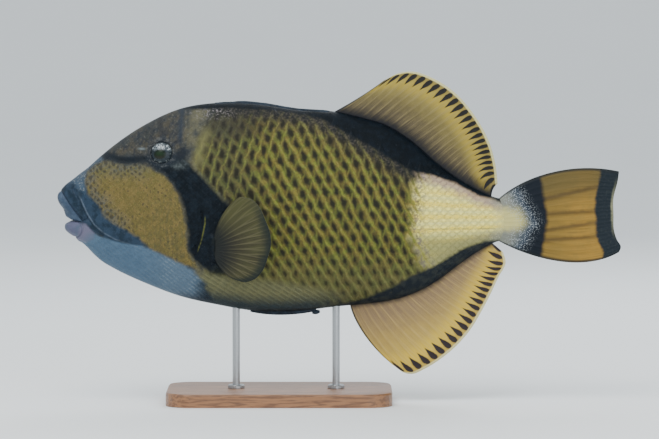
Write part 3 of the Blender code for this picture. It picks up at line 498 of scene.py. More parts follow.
class Flesh:
    """One half of the skin as a grid: rings along the fish, points crest to keel."""

    def __init__(self):
        rows = list(MUZZLE)
        for x, crest, side, keel, half, full in BODY + TAIL_CAP:
            rows.append((x, crest, x, side, x, keel, half, full))
        head_rows = len(MUZZLE)
        self.rows = smooth_rows(rows, lambda i: HEAD_STEP if i < head_rows else BODY_STEP)
        self.upright = self.rows[self.rows[:, 2] > 129.0]
        angle = np.linspace(0, math.pi, AROUND + 1)
        crest_x, crest_z, side_x, side_z, keel_x, keel_z, half, full = [
            c[:, None] for c in self.rows.T]
        out = np.clip(np.sin(angle), 0, 1)[None, :] ** (2 / full)
        up = np.abs(np.cos(angle))[None, :] ** (2 / full)
        upper = (angle < math.pi / 2)[None, :]
        x = side_x + (np.where(upper, crest_x, keel_x) - side_x) * up
        z = side_z + (np.where(upper, crest_z, keel_z) - side_z) * up
        self.base = np.stack([x, half * out, z], axis=-1)
        self.base_normal = grid_normals(self.base)
        self.lip_front = int(np.argmin(self.rows[:, 0]))
        lift = self.relief(x, half * out, z)
        self.points = self.base + self.base_normal * lift[..., None]
        self.points[:, [0, -1], 1] = 0.0
        self.normals = grid_normals(self.points)
        along = np.concatenate([[0.0], np.cumsum(np.linalg.norm(
            np.diff(self.base[:, AROUND // 2], axis=0), axis=1) + 0.3)])
        share = along / along[-1]
        round_share = np.linspace(0, 1, AROUND + 1)
        self.uv = np.stack(np.broadcast_arrays(
            0.01 + 0.98 * share[:, None], 0.01 + 0.47 * round_share[None, :]), axis=-1)
        self.marks = Marks()

    def crest(self, x):
        return np.interp(x, self.upright[:, 0], self.upright[:, 1])

    def keel(self, x):
        return np.interp(x, self.upright[:, 4], self.upright[:, 5])

    def relief(self, x, y, z):
        """Height of the skin's folds over the smooth body."""
        lift = np.full(x.shape, -SKIN_DEPTH)
        head = x < HEAD_END
        lift[head] += head_relief(x[head], z[head])
        pad_x = (x - 168.0) / np.where(x < 168.0, 9.0, 3.2)
        pad_z = (z - sum(PECTORAL_ROOT) / 2) / 16.0
        lift += 5.4 * bump(pad_x) ** 0.8 * step(1 - np.abs(pad_z), 0.0, 0.35)
        runs = (x > SPINY_START) & (x < SPINY_END)
        across = step(SPINY_GROOVE_HALF + 0.6 - y, 0.0, 1.2) * (z > 60)
        ends = step(x, SPINY_START, SPINY_START + 16) * step(-x, -SPINY_END, -SPINY_END + 12)
        lift -= np.where(runs, SPINY_GROOVE_DEPTH * across * ends, 0.0)
        return lift

    def locate(self, x, z, s, t, rounds=10):
        """Grid place of the skin under a side-view point, from a near guess."""
        flat = self.base[..., [0, 2]]
        for _ in range(rounds):
            here = sample(flat, s, t)
            i = np.clip(s.astype(int), 0, flat.shape[0] - 2)
            j = np.clip(t.astype(int), 0, flat.shape[1] - 2)
            ds = flat[i + 1, j] - flat[i, j]
            dt = flat[i, j + 1] - flat[i, j]
            miss_x = x - here[..., 0]
            miss_z = z - here[..., 1]
            area = ds[..., 0] * dt[..., 1] - ds[..., 1] * dt[..., 0]
            area = np.where(np.abs(area) < 1e-4, 1e-4, area)
            move_s = (miss_x * dt[..., 1] - miss_z * dt[..., 0]) / area
            move_t = (ds[..., 0] * miss_z - ds[..., 1] * miss_x) / area
            s = np.clip(s + np.clip(move_s, -4, 4), self.lip_front, flat.shape[0] - 1.001)
            t = np.clip(t + np.clip(move_t, -4, 4), 0.0, flat.shape[1] - 1.001)
        here = sample(flat, s, t)
        return s, t, np.hypot(x - here[..., 0], z - here[..., 1])

    def guess(self, x, z):
        """Nearest coarse grid place to each side-view point."""
        rows = np.arange(self.lip_front, self.base.shape[0] - 1, 4)
        cols = np.arange(0, AROUND, 4)
        flat = self.base[rows][:, cols][..., [0, 2]].reshape(-1, 2)
        s = np.empty(x.shape)
        t = np.empty(x.shape)
        for k in range(len(x)):
            near = int(np.argmin((flat[:, 0] - x[k]) ** 2 + (flat[:, 1] - z[k]) ** 2))
            s[k] = rows[near // len(cols)]
            t[k] = cols[near % len(cols)]
        return s, t


def head_relief(x, z):
    """Lips, folds, groove, gill slit, nostrils and the socket's dip, in millimetres."""
    # Roll of the upper lip and the fold behind it
    fold, share = distance_to(LIP_FOLD, x, z)
    lift = -1.3 * mound(fold, 1.3) * step(share, 0.0, 0.12)
    lift += 0.9 * step(inside_by(LIP_ROLL, x, z), 0.5, 4.5)
    # Cheek fold, with a hollow before it
    fold, share = distance_to(CHEEK_FOLD, x, z)
    rear_end = step(1 - share, 0.0, 0.25)
    front = distance_to([(px - 2.6, pz - 0.9) for px, pz in CHEEK_FOLD], x, z)[0]
    lift += 0.8 * mound(fold, 1.6) * rear_end
    lift -= 0.9 * mound(front, 1.4) * rear_end
    lift -= 0.35 * mound(inside_by(UPPER_LIP, x, z), 2.2) * (z < 30)
    # Seam of the mouth and the bulb of the lower lip
    seam = z - np.interp(x, [8.0, 14.0, 32.0], [0.0, -0.8, -3.2])
    lift += 1.15 * mound(seam, 2.4) * step(x, 9.0, 14.0) * step(-x, -34.0, -30.0)
    bulb = np.hypot((x - 15.5) / 11.0, (z + 9.5) / 9.5)
    lift += 1.6 * bump(bulb) - 1.0 * mound(bulb, 0.12, 1.08) * (z < -3.5)
    lift -= 0.6 * mound(inside_by(LOWER_LIP, x, z), 1.2, -0.6) * (z < -6)
    # Groove before the eye
    groove, share = distance_to(EYE_GROOVE, x, z)
    lift -= 1.9 * (0.3 + 0.7 * np.sin(math.pi * share) ** 0.6) * bump(groove / 3.0)
    lift += 0.5 * mound(groove, 1.5, 3.6) * np.sin(math.pi * share)
    # Gill slit, nostrils and socket
    slit = distance_to(GILL_SLIT, x, z)[0]
    lift -= 2.6 * mound(slit, 1.2)
    lift += 0.7 * mound(slit, 1.2, 2.6)
    for place in NOSTRILS:
        far = np.hypot(x - place[0], z - place[1])
        lift += 0.5 * mound(far, 0.8, 1.9) - 1.3 * mound(far, 1.1)
    far = np.hypot(x - EYE_PLACE[0], z - EYE_PLACE[1])
    lift += 0.9 * mound(far, 2.6, 14.0)
    return lift - 3.4 * step(EYE_RADIUS - 0.4 - far, 0.0, 2.0)


def grid_normals(points):
    along = np.gradient(points, axis=0)
    around = np.gradient(points, axis=1)
    normal = np.cross(around, along)
    length = np.linalg.norm(normal, axis=-1, keepdims=True)
    normal = normal / np.maximum(length, 1e-9)
    outward = np.sign(normal[normal.shape[0] // 2, normal.shape[1] // 2, 1])
    return normal * outward


_flesh = []


def flesh():
    if not _flesh:
        _flesh.append(Flesh())
    return _flesh[0]


def new_piece(name, slot, material, body_nodes, points, faces, uv=None, fields=None):
    """Make a mesh piece with its fields and UV map, hang it on the root body and hide the solids it
    stands in for.
    """
    mesh = bpy.data.meshes.new(name)
    points = world(points)
    faces = np.asarray(faces)
    mesh.vertices.add(len(points))
    mesh.vertices.foreach_set("co", points.ravel())
    width = faces.shape[1]
    mesh.loops.add(faces.size)
    mesh.loops.foreach_set("vertex_index", faces.ravel().astype(np.int32))
    mesh.polygons.add(len(faces))
    mesh.polygons.foreach_set("loop_start", np.arange(0, faces.size, width, dtype=np.int32))
    mesh.update(calc_edges=True)
    mesh.validate()
    if uv is not None:
        layer = mesh.uv_layers.new(name="OFBake")
        corners = np.empty(len(mesh.loops), np.int32)
        mesh.loops.foreach_get("vertex_index", corners)
        layer.uv.foreach_set("vector", np.asarray(uv)[corners].astype(np.float32).ravel())
    for field, values in (fields or {}).items():
        mesh.attributes.new(field, "FLOAT_VECTOR", "POINT").data.foreach_set(
            "vector", np.asarray(values, np.float32).ravel())
    mesh.polygons.foreach_set("use_smooth", np.ones(len(mesh.polygons), bool))
    mesh.update()
    mesh.materials.append(material)
    obj = bpy.data.objects.new(name, mesh)
    bpy.context.scene.collection.objects.link(obj)
    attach(obj, "root")
    if body_nodes:
        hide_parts(*body_nodes)


MARK_FIELDS = {
    "mark_head": ("cheek", "dark", "lip"),
    "mark_jaw": ("jaw", "pink", "fold"),
    "mark_band": ("back", "belly", "rear"),
    "mark_lip": ("roll", "snout", "shadow"),
    "mark_net": ("front", "net_p", "net_q"),
    "mark_fine": ("eye", "slit", "level"),
}


def skin_fields(x, z, level=0.0):
    """The marking fields that skin and scales share, three measures in each."""
    marks = flesh().marks.at(x, z)
    marks["net_p"], marks["net_q"] = net_coords(x, z)
    marks["level"] = np.broadcast_to(level, x.shape)
    return {field: np.stack([marks[name] for name in names], axis=-1)
            for field, names in MARK_FIELDS.items()}


def grid_faces(rows, cols, start=0, flip=False):
    i, j = np.meshgrid(np.arange(rows - 1), np.arange(cols - 1), indexing="ij")
    a = (start + i * cols + j).ravel()
    quads = np.stack([a, a + 1, a + 1 + cols, a + cols], axis=-1)
    return quads[:, ::-1] if flip else quads


def other_side(uv):
    """Places on the picture for the right side, given those of the left."""
    return uv * np.array([1.0, -1.0]) + np.array([0.0, 1.0])


def make_skin():
    body = flesh()
    rows, cols, _ = body.points.shape
    left = body.points * np.array([1.0, -1.0, 1.0])
    around = np.concatenate([left, body.points[:, -2:0:-1]], axis=1)
    uv = np.concatenate([body.uv, other_side(body.uv[:, -2:0:-1])], axis=1)
    size = around.shape[1]
    caps = [(start + k, start + k + 1, start + (size - k - 1) % size, start + (size - k) % size)
            for start in (0, (rows - 1) * size) for k in range(cols - 1)]
    caps = [cap for cap in caps if len(set(cap)) == 4]
    faces = np.concatenate([ring_quads(rows, size), np.array(caps)])
    points = around.reshape(-1, 3)
    return points, faces, uv.reshape(-1, 2), skin_fields(points[:, 0], points[:, 2])


def plates(place, keep, cells, height, tilt, seed, shrink=0.5, tuck=0.45):
    """Scale plates over one flank as a single mesh of small domed grids."""
    body = flesh()
    span = np.arange(-NET_CELLS, NET_CELLS + 1)
    p, q = [a.ravel().astype(float) for a in np.meshgrid(span, span, indexing="ij")]
    x, z = place(p, q)
    chosen = (x > SCALES_X[0]) & (x < SCALES_X[1]) & (z > SCALES_Z[0]) & (z < SCALES_Z[1])
    p, q, x, z = p[chosen], q[chosen], x[chosen], z[chosen]
    kept = keep(x, z, body.marks.at(x, z))
    p, q, x, z = p[kept], q[kept], x[kept], z[kept]
    s, t = body.guess(x, z)
    s, t, miss = body.locate(x, z, s, t, 16)
    good = (miss < MIDDLE_MISS) & (t > 5) & (t < AROUND - 4)
    p, q, s, t = p[good], q[good], s[good], t[good]
    offsets = np.linspace(-shrink, shrink, cells + 1)
    op, oq = [a.ravel() for a in np.meshgrid(offsets, offsets, indexing="ij")]
    all_p = p[:, None] + op[None, :]
    all_q = q[:, None] + oq[None, :]
    px, pz = place(all_p, all_q)
    s, t, miss = body.locate(px, pz, np.repeat(s[:, None], len(op), 1),
                             np.repeat(t[:, None], len(op), 1), 14)
    good = (miss.max(axis=1) < CORNER_MISS) & (t.min(axis=1) > 2.0) & (t.max(axis=1) < AROUND - 2.0)
    s, t, px, pz = s[good], t[good], px[good], pz[good]
    points = sample(body.points, s, t)
    normals = sample(body.normals, s, t)
    normals /= np.linalg.norm(normals, axis=-1, keepdims=True)
    random = np.random.default_rng(seed)
    vary = random.uniform(0.75, 1.25, len(s))[:, None]
    edge = 1 - np.maximum(np.abs(op), np.abs(oq)) / shrink
    dome = step(edge, 0.0, 0.36)[None, :]
    lean = (op + oq)[None, :] * tilt
    level = dome * (height * vary + lean) - tuck * (1 - step(edge, 0.0, 0.2))[None, :]
    points = points + normals * level[..., None]
    grid = points.reshape(-1, cells + 1, cells + 1, 3)
    longest = np.maximum(np.linalg.norm(np.diff(grid, axis=1), axis=-1).max(axis=(1, 2)),
                         np.linalg.norm(np.diff(grid, axis=2), axis=-1).max(axis=(1, 2)))
    even = longest < LONGEST_EDGE * np.median(longest)
    points, s, t, px, pz = points[even], s[even], t[even], px[even], pz[even]
    count, size = px.shape
    local = grid_faces(cells + 1, cells + 1)
    faces = (local[None, :, :] + (np.arange(count) * size)[:, None, None]).reshape(-1, 4)
    uv = sample(body.uv, s, t).reshape(-1, 2)
    dome = np.repeat(dome, count, axis=0)
    return points.reshape(-1, 3), faces, uv, (px.ravel(), pz.ravel(), dome.ravel())


def lay_scales(name, slot_name, material, place, keep, **shape):
    """Put one coat of plates on each flank."""
    points, faces, uv, spots = plates(place, keep, **shape)
    fields = skin_fields(*spots)
    for side, word in SIDES:
        placed = points * np.array([1.0, side, 1.0])
        turned = faces if side > 0 else faces[:, ::-1]
        side_uv = other_side(uv) if side > 0 else uv
        new_piece(f"{name}_{word}", slot_name, material, (), placed, turned, side_uv, fields)


def straight_place(net):
    """Side-view place of a point of a net of straight rows."""
    (start_x, start_z), (ax, az), (bx, bz) = net
    return lambda p, q: (start_x + p * ax + q * bx, start_z + p * az + q * bz)


def belly_share(x, z):
    """Above nought where the flank's net gives way to the belly's fine rows."""
    top = np.interp(x, [150, 175, 200, 240, 290, 330, 370], [-50, -50, -62, -66, -76, -86, -100])
    return top - z


def keep_flank(x, z, marks):
    return ((marks["front"] > 1.0) & (marks["rear"] < 4.0) & (belly_share(x, z) < 3)
            & (marks["back"] < 2.5) & (marks["belly"] < 6.0))


def keep_belly(x, z, marks):
    return ((belly_share(x, z) >= 0) & (marks["front"] > -3.0) & (marks["rear"] < 0)
            & (marks["jaw"] < -1.5) & (x < 345))


def keep_head(x, z, marks):
    return ((marks["front"] < 2.0) & (marks["jaw"] < 0.5) & (marks["lip"] < -1.5)
            & (marks["pink"] < -1.5) & (marks["eye"] > 16.5) & (x > 12) & (marks["slit"] > 2.2)
            & (marks["shadow"] > 2.4))


def keep_jaw(x, z, marks):
    return (marks["jaw"] > -0.5) & (marks["pink"] < -1.5) & (marks["lip"] < -1.0)


def keep_stalk(x, z, marks):
    return (marks["rear"] > 1.0) & (x < 466)


def spread_over(*measures):
    """Rows of a grid's points, from measures that may be the same along a side."""
    return np.stack(np.broadcast_arrays(*measures), axis=-1).reshape(-1, len(measures))


def fin_blade(roots, tips, bows, fade, root_half, wave, rays, ridge=RAY_RIDGE, rows=FIN_ROWS,
              bend=0.0):
    """Fin membrane with branching rays raised on both faces, and its fields."""
    cols = rays * COLUMNS_PER_RAY + 1
    span = np.linspace(0, 1, cols)
    lead = np.clip(1 - 2 * span, 0, 1) ** fade
    trail = np.clip(2 * span - 1, 0, 1) ** fade
    guides = []
    sideways = np.stack([roots[:, 1] - tips[:, 1], tips[:, 0] - roots[:, 0]], axis=-1)
    sideways = sideways * np.broadcast_to(bend, cols)[:, None]
    for k, share in enumerate((1 / 3, 2 / 3)):
        line = roots + (tips - roots) * share + sideways * (0.65, 1.0)[k]
        line = line + lead[:, None] * np.array(bows[0][k]) + trail[:, None] * np.array(bows[1][k])
        guides.append(line)
    t = np.linspace(0, 1, rows + 1)[:, None]
    far = t[..., None]
    near = 1 - far
    path = (roots[None] * near ** 3 + guides[0][None] * 3 * far * near ** 2
            + guides[1][None] * 3 * far ** 2 * near + tips[None] * far ** 3)
    phase = span * rays
    off = (phase % 1.0) - 0.5
    spread = 0.24 * step(t, BRANCH_START, 1.0)
    width = 0.17 - 0.07 * step(t, BRANCH_START, 1.0)
    ray = mound(np.abs(off)[None], width, spread)
    membrane = 1 - ray
    thick = root_half(span)[None] * (1 - t) ** 1.6 + FIN_TIP_HALF * (1 - (1 - t) ** 1.6)
    edge = step(1 - t, 0.0, 0.03)
    half = thick * (0.45 + 0.55 * edge) + ridge * ray * np.minimum(1.0, t * 10) * (1 - 0.35 * t)
    half = half - 0.12 * membrane * step(t, 0.05, 0.3)
    half = np.maximum(half, 0.22)
    ends = np.minimum(span, 1 - span)[None] * rays
    half = half * (0.55 + 0.45 * step(ends, 0.0, 0.4))
    centre = wave(span[None], t)
    steps = np.linalg.norm(np.diff(path, axis=0), axis=-1)
    run = np.concatenate([np.zeros((1, cols)), np.cumsum(steps, axis=0)])
    margin = run[-1][None] - run
    size = (rows + 1) * cols
    points = np.concatenate([
        np.stack([path[..., 0], centre + side * half, path[..., 1]], axis=-1).reshape(-1, 3)
        for side in (1, -1)])
    faces = [grid_faces(rows + 1, cols), grid_faces(rows + 1, cols, size, flip=True)]
    rim = [np.arange(cols), rows * cols + np.arange(cols)[::-1],
           (np.arange(rows + 1) * cols)[::-1], np.arange(rows + 1) * cols + cols - 1]
    for line in rim:
        faces.append(np.stack([line[:-1], line[:-1] + size, line[1:] + size, line[1:]], axis=-1))
    faces = np.concatenate(faces)[:, ::-1]
    fields = {"fin_ray": spread_over(phase[None], t, margin),
              "fin_span": spread_over(span[None], ray, run)}
    fields = {name: np.concatenate([field, field]) for name, field in fields.items()}
    uv = spread_over(0.02 + 0.46 * span[None], 0.02 + 0.96 * t)
    uv = np.concatenate([uv, uv + np.array([0.5, 0.0])])
    return points, faces, uv, fields


def median_fin(base, shares, tips, rays, bows, bends, edge_at, phase):
    """Back or keel fin, rooted along the body's edge."""
    cols = rays * COLUMNS_PER_RAY + 1
    share = np.linspace(0, 1, cols)
    share = share + RAY_CROWDING * share * (1 - share)
    places = base[0] + (base[1] - base[0]) * np.interp(share, *zip(*shares))
    outline = smooth_curve(tips, 401)
    ends = np.column_stack([np.interp(share * 400, np.arange(401), line) for line in outline.T])
    roots = np.stack([places, edge_at(places) - np.sign(edge_at(places)) * 0.8], axis=-1)

    def root_half(u):
        return MEDIAN_ROOT_HALF * (1 - 0.5 * u) * (0.55 + 0.45 * np.minimum(1.0, u * 8))

    def wave(u, t):
        return FIN_WAVE * t * t * np.sin(2 * math.pi * (u + phase))

    bend = np.interp(np.linspace(0, 1, cols), *zip(*bends)) * np.sign(ends[0, 1])
    return fin_blade(roots, ends, bows, 2, root_half, wave, rays, bend=bend)


def tail_fin():
    cols = CAUDAL_RAYS * COLUMNS_PER_RAY + 1
    heights = np.linspace(CAUDAL_ROOT[0], CAUDAL_ROOT[1], cols)
    roots = np.stack([np.full(cols, CAUDAL_X), heights], axis=-1)

    def root_half(u):
        return CAUDAL_ROOT_HALF * np.sqrt(np.maximum(0.12, 1 - (2 * u - 1) ** 2))

    def wave(u, t):
        return CAUDAL_WAVE * t * t * np.cos(math.pi * (u - 0.3))

    return fin_blade(roots, smooth_curve(CAUDAL_TIPS, cols), CAUDAL_BOWS, 1, root_half, wave,
                     CAUDAL_RAYS, ridge=0.5, rows=60)


def pectoral_fin(side):
    """Side fin, splayed out from its fleshy pad."""
    body = flesh()
    cols = PECTORAL_RAYS * COLUMNS_PER_RAY + 1
    turn = math.radians(PECTORAL_SPLAY)
    heights = np.linspace(PECTORAL_ROOT[0], PECTORAL_ROOT[1], cols)
    roots = np.stack([np.full(cols, PECTORAL_X - 1.5), heights], axis=-1)
    tips = smooth_curve(PECTORAL_TIPS, cols)
    tips[:, 0] = PECTORAL_X + (tips[:, 0] - PECTORAL_X) / math.cos(turn)

    def root_half(u):
        return np.full(u.shape, PECTORAL_ROOT_HALF)

    def wave(u, t):
        return PECTORAL_CUP * t * t * np.cos(2 * math.pi * (u - 0.5))

    points, faces, uv, fields = fin_blade(
        roots, tips, PECTORAL_BOWS, 2, root_half, wave, PECTORAL_RAYS, ridge=0.34, rows=40)
    middle = sum(PECTORAL_ROOT) / 2
    x = np.array([PECTORAL_X])
    z = np.array([middle])
    s, t, _ = body.locate(x, z, *body.guess(x, z), 16)
    out = float(sample(body.base, s, t)[0, 1]) + PECTORAL_STANDOFF
    # Flags the inner face, which the side fin's material makes paler as painted light.
    inner = np.zeros((len(points), 3))
    inner[len(points) // 2:, 0] = 1.0
    fields["fin_face"] = inner
    reach = points[:, 0] - PECTORAL_X
    across = points[:, 1] + (points[:, 2] - middle) * PECTORAL_ROLL
    placed = np.stack([
        PECTORAL_X + reach * math.cos(turn) - across * math.sin(turn),
        side * (out + reach * math.sin(turn) + across * math.cos(turn)),
        points[:, 2]], axis=-1)
    return placed, faces if side > 0 else faces[:, ::-1], uv, fields


def tube(path, radius_at, sides=20, ridges=0, ridge_depth=0.0):
    """Closed tapered rod along a path of points, with fine lengthwise ridges."""
    count = len(path)
    ahead = np.gradient(path, axis=0)
    ahead /= np.linalg.norm(ahead, axis=1, keepdims=True)
    across = np.tile(np.array([0.0, 1.0, 0.0]), (count, 1))
    up = np.cross(across, ahead)
    angle = np.linspace(0, 2 * math.pi, sides, endpoint=False)
    share = np.linspace(0, 1, count)
    radius = radius_at(share)[:, None] * (1 + ridge_depth * np.cos(ridges * angle))[None, :]
    points = (path[:, None, :] + across[:, None, :] * (radius * np.cos(angle))[..., None]
              + up[:, None, :] * (radius * np.sin(angle))[..., None])
    faces = ring_faces(count, sides)
    return points.reshape(-1, 3), faces


def ring_quads(count, sides):
    """Quads round a run of rings, open at both ends."""
    i, j = np.meshgrid(np.arange(count - 1), np.arange(sides), indexing="ij")
    a = i * sides + j
    b = i * sides + (j + 1) % sides
    return np.stack([a, b, b + sides, a + sides], axis=-1).reshape(-1, 4)


def ring_faces(count, sides):
    """Quads round a run of rings, with strips closing both ends."""
    faces = [ring_quads(count, sides)]
    for low, turn in ((0, 1), ((count - 1) * sides, -1)):
        strip = [(low + k, low + k + 1, low + sides - 2 - k, low + sides - 1 - k)[::turn]
                 for k in range(sides // 2 - 1)]
        faces.append(np.array(strip)[:, ::-1])
    return np.concatenate(faces)


def joined(parts):
    """Join several lots of points and faces into one."""
    points = []
    faces = []
    start = 0
    for some, links in parts:
        points.append(some)
        faces.append(np.asarray(links) + start)
        start += len(some)
    return np.concatenate(points), np.concatenate(faces)


def folded_spines():
    """First dorsal fin laid in its groove: a creased membrane under three spines."""
    body = flesh()
    count, columns = SPINY_GRID
    places = np.linspace(SPINY_START + 1.5, SPINY_END - 1.5, count)
    t = np.linspace(0, 1, count)
    base = body.crest(places)
    half = (SPINY_GROOVE_HALF - 0.5) * (1 - 0.35 * t)
    across = np.linspace(-1, 1, columns)
    crease = (0.45 * np.sin(9 * across[None, :] + 5 * np.sin(6 * t[:, None] * math.pi))
              + 0.25 * np.sin(23 * across[None, :] + 31 * t[:, None]))
    top = (base[:, None] + (SPINY_RISE - 0.4) * np.sin(math.pi * t)[:, None] ** 0.6 - 0.7
           + crease * (1 - across[None, :] ** 2) - 1.6 * across[None, :] ** 4)
    low = np.broadcast_to((base - SPINY_GROOVE_DEPTH + 0.3)[:, None], (count, 2))
    y = half[:, None] * across[None, :]
    ring_y = np.concatenate([y, y[:, -1:], y[:, :1]], axis=1)
    ring_z = np.concatenate([top, low], axis=1)
    parts = [(spread_over(places[:, None], ring_y, ring_z), ring_quads(count, ring_y.shape[1]))]
    for start, end, radius in SPINES:
        run = np.linspace(start, end, SPINE_RINGS)
        shift = 0.5 * math.sin(start)
        sink = 2.8 * (1 - step(run, start, start + 36.0))
        path = np.column_stack([run, np.full(SPINE_RINGS, shift), body.crest(run) - 0.3 - sink])

        def radius_at(share, radius=radius):
            return radius * (1.05 - 0.8 * share) * np.minimum(1.0, 0.12 + 2.4 * share) ** 0.7

        parts.append(tube(path, radius_at, 24, ridges=8, ridge_depth=0.07))
    return joined(parts)


def keel_flap():
    """Low keel flap with rows of blunt scutes and the rough pelvic spine behind it."""
    body = flesh()
    count, columns = FLAP_GRID
    places = np.linspace(FLAP_START, FLAP_END, count)
    t = np.linspace(0, 1, count)
    deep = FLAP_DEPTH * (0.12 + 0.88 * np.sin(math.pi * np.minimum(1.0, 0.04 + 0.85 * t)) ** 0.7)
    serrate = 0.22 * np.abs(np.sin(places * 0.9)) ** 0.6
    top = body.keel(places) + 1.5
    across = np.linspace(0, math.pi, columns)
    y = FLAP_HALF * np.cos(across)[None, :] * (1 + 0.05 * np.sin(places * 1.7)[:, None])
    drop = np.sin(across)[None, :] ** 0.7
    z = top[:, None] - (1.5 + deep[:, None]) * drop - serrate[:, None] * drop ** 3
    parts = [(spread_over(places[:, None], y, z), ring_quads(count, columns))]
    run = np.linspace(FLAP_END - KNOB_LENGTH * 0.6, FLAP_END + KNOB_LENGTH * 0.6, KNOB_RINGS)
    path = np.column_stack([run, np.zeros(KNOB_RINGS), body.keel(run) - KNOB_RADIUS - 0.2])

    def radius_at(share):
        return (KNOB_RADIUS * (0.3 + 0.65 * np.sin(math.pi * (0.1 + 0.82 * share)))
                * (1 + 0.06 * np.sin(40 * share)))

    parts.append(tube(path, radius_at, 24, ridges=9, ridge_depth=0.08))
    return joined(parts)


def eye_frame(name):
    """Centre, outward direction and the two directions across one eye."""
    low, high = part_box(name)
    centre = (low + high) / 2
    side = 1 if centre.y > 0 else -1
    out = Vector((EYE_OUT[0], EYE_OUT[1] * side, EYE_OUT[2])).normalized()
    up = (Vector((0, 0, 1)) - out * out.z).normalized()
    aft = Vector((1, 0, 0))
    aft = (aft - out * aft.dot(out) - up * aft.dot(up)).normalized()
    return centre, out, up, aft, side


def eye_dome(name):
    """Eyeball with a raised clear-looking front and a flat iris pattern field."""
    centre, out, up, aft, side = eye_frame(name)
    rings, around = EYE_GRID
    points = []
    fields = []
    for i in range(rings):
        lat = (i + 0.02) / (rings - 1) * math.pi * 0.94
        for k in range(around):
            turn = 2 * math.pi * k / around
            a = EYE_RADIUS * math.sin(lat) * math.cos(turn)
            b = EYE_RADIUS * math.sin(lat) * math.sin(turn)
            lift = EYE_HALF_DEPTH * math.cos(lat)
            bulge = 0.9 * math.exp(-(math.hypot(a, b + 2.2) / 6.5) ** 2) if lat < 1.6 else 0.0
            place = centre + (aft * a + up * b + out * (lift + bulge)) * MM
            points.append(fish_place(place))
            fields.append((a, b, lift))
    faces = ring_faces(rings, around)
    if side < 0:
        faces = faces[:, ::-1]
    return np.array(points), faces, None, {"eye_place": np.array(fields)}


def eye_lid(name):
    """Wrinkled ring of skin round one eye."""
    centre, _, up, aft, side = eye_frame(name)
    around, across = LID_GRID
    points = []
    rises = []
    for k in range(around):
        turn = 2 * math.pi * k / around
        heavy = 1.0 + 0.35 * math.sin(turn) - 0.15 * math.cos(turn)
        for j in range(across):
            share = j / (across - 1)
            reach = EYE_RADIUS - 1.4 + 6.4 * share
            crest = math.exp(-((share - 0.3) / 0.17) ** 2)
            second = 0.35 * math.exp(-((share - 0.72) / 0.1) ** 2)
            fine = 0.10 * math.sin(46 * turn + 9 * share) * math.sin(math.pi * share)
            rise = 1.75 * heavy * crest + second + fine - 2.2 * share ** 3
            rise -= 1.2 * (1 - share) ** 6
            a = reach * math.cos(turn)
            b = reach * math.sin(turn)
            rises.append(rise)
            points.append(fish_place(centre + (aft * a + up * b) * MM))
    x, _, z = np.array(points).T
    body = flesh()
    near = body.guess(np.array([EYE_PLACE[0]]), np.array([EYE_PLACE[1]]))
    s, t, _ = body.locate(x, z, *(np.full(x.shape, place[0]) for place in near), 20)
    skin = sample(body.base, s, t)
    normal = sample(body.base_normal, s, t)
    normal /= np.linalg.norm(normal, axis=-1, keepdims=True)
    placed = skin + normal * np.array(rises)[:, None]
    placed[:, 1] *= side
    i, j = np.meshgrid(np.arange(around), np.arange(across - 1), indexing="ij")
    a = i * across + j
    b = ((i + 1) % around) * across + j
    faces = np.stack([a, a + 1, b + 1, b], axis=-1).reshape(-1, 4)
    uv = sample(body.uv, s, t)
    if side > 0:
        faces = faces[:, ::-1]
        uv = other_side(uv)
    return placed, faces, uv, skin_fields(placed[:, 0], placed[:, 2])


def plain(value):
    """What a socket takes for a value: a linear colour for red, green and blue."""
    return tint(*value) if isinstance(value, tuple) and len(value) == 3 else value


class Signal:
    """Output of a node that takes part in sums as a number would."""

    def __init__(self, wires, socket):
        self.wires = wires
        self.socket = socket

    def __abs__(self):
        return self.wires.math("ABSOLUTE", self)

    def ramp(self, low, high, to_low=0.0, to_high=1.0):
        return self.wires.made("ShaderNodeMapRange", 0, self, low, high, to_low, to_high,
                               interpolation_type="SMOOTHSTEP")

    def fall(self, low, high):
        """One below the low value and nought above the high one."""
        return self.ramp(low, high, 1.0, 0.0)

    def hump(self, width):
        """One where the value is nought, falling away over a width."""
        return abs(self).fall(0.0, width)

    def within(self, soft):
        return self.ramp(-soft, soft)

    def fraction(self):
        """Place in a repeating cell, -0.5 to 0.5."""
        return self.wires.math("FRACT", self + 0.5) - 0.5


# Sums of signals and numbers, either way round, each a math node
for sign, operation in (("add", "ADD"), ("sub", "SUBTRACT"), ("mul", "MULTIPLY"),
                        ("truediv", "DIVIDE"), ("pow", "POWER")):
    setattr(Signal, f"__{sign}__",
            lambda self, other, kind=operation: self.wires.math(kind, self, other))
    setattr(Signal, f"__r{sign}__",
            lambda self, other, kind=operation: self.wires.math(kind, other, self))


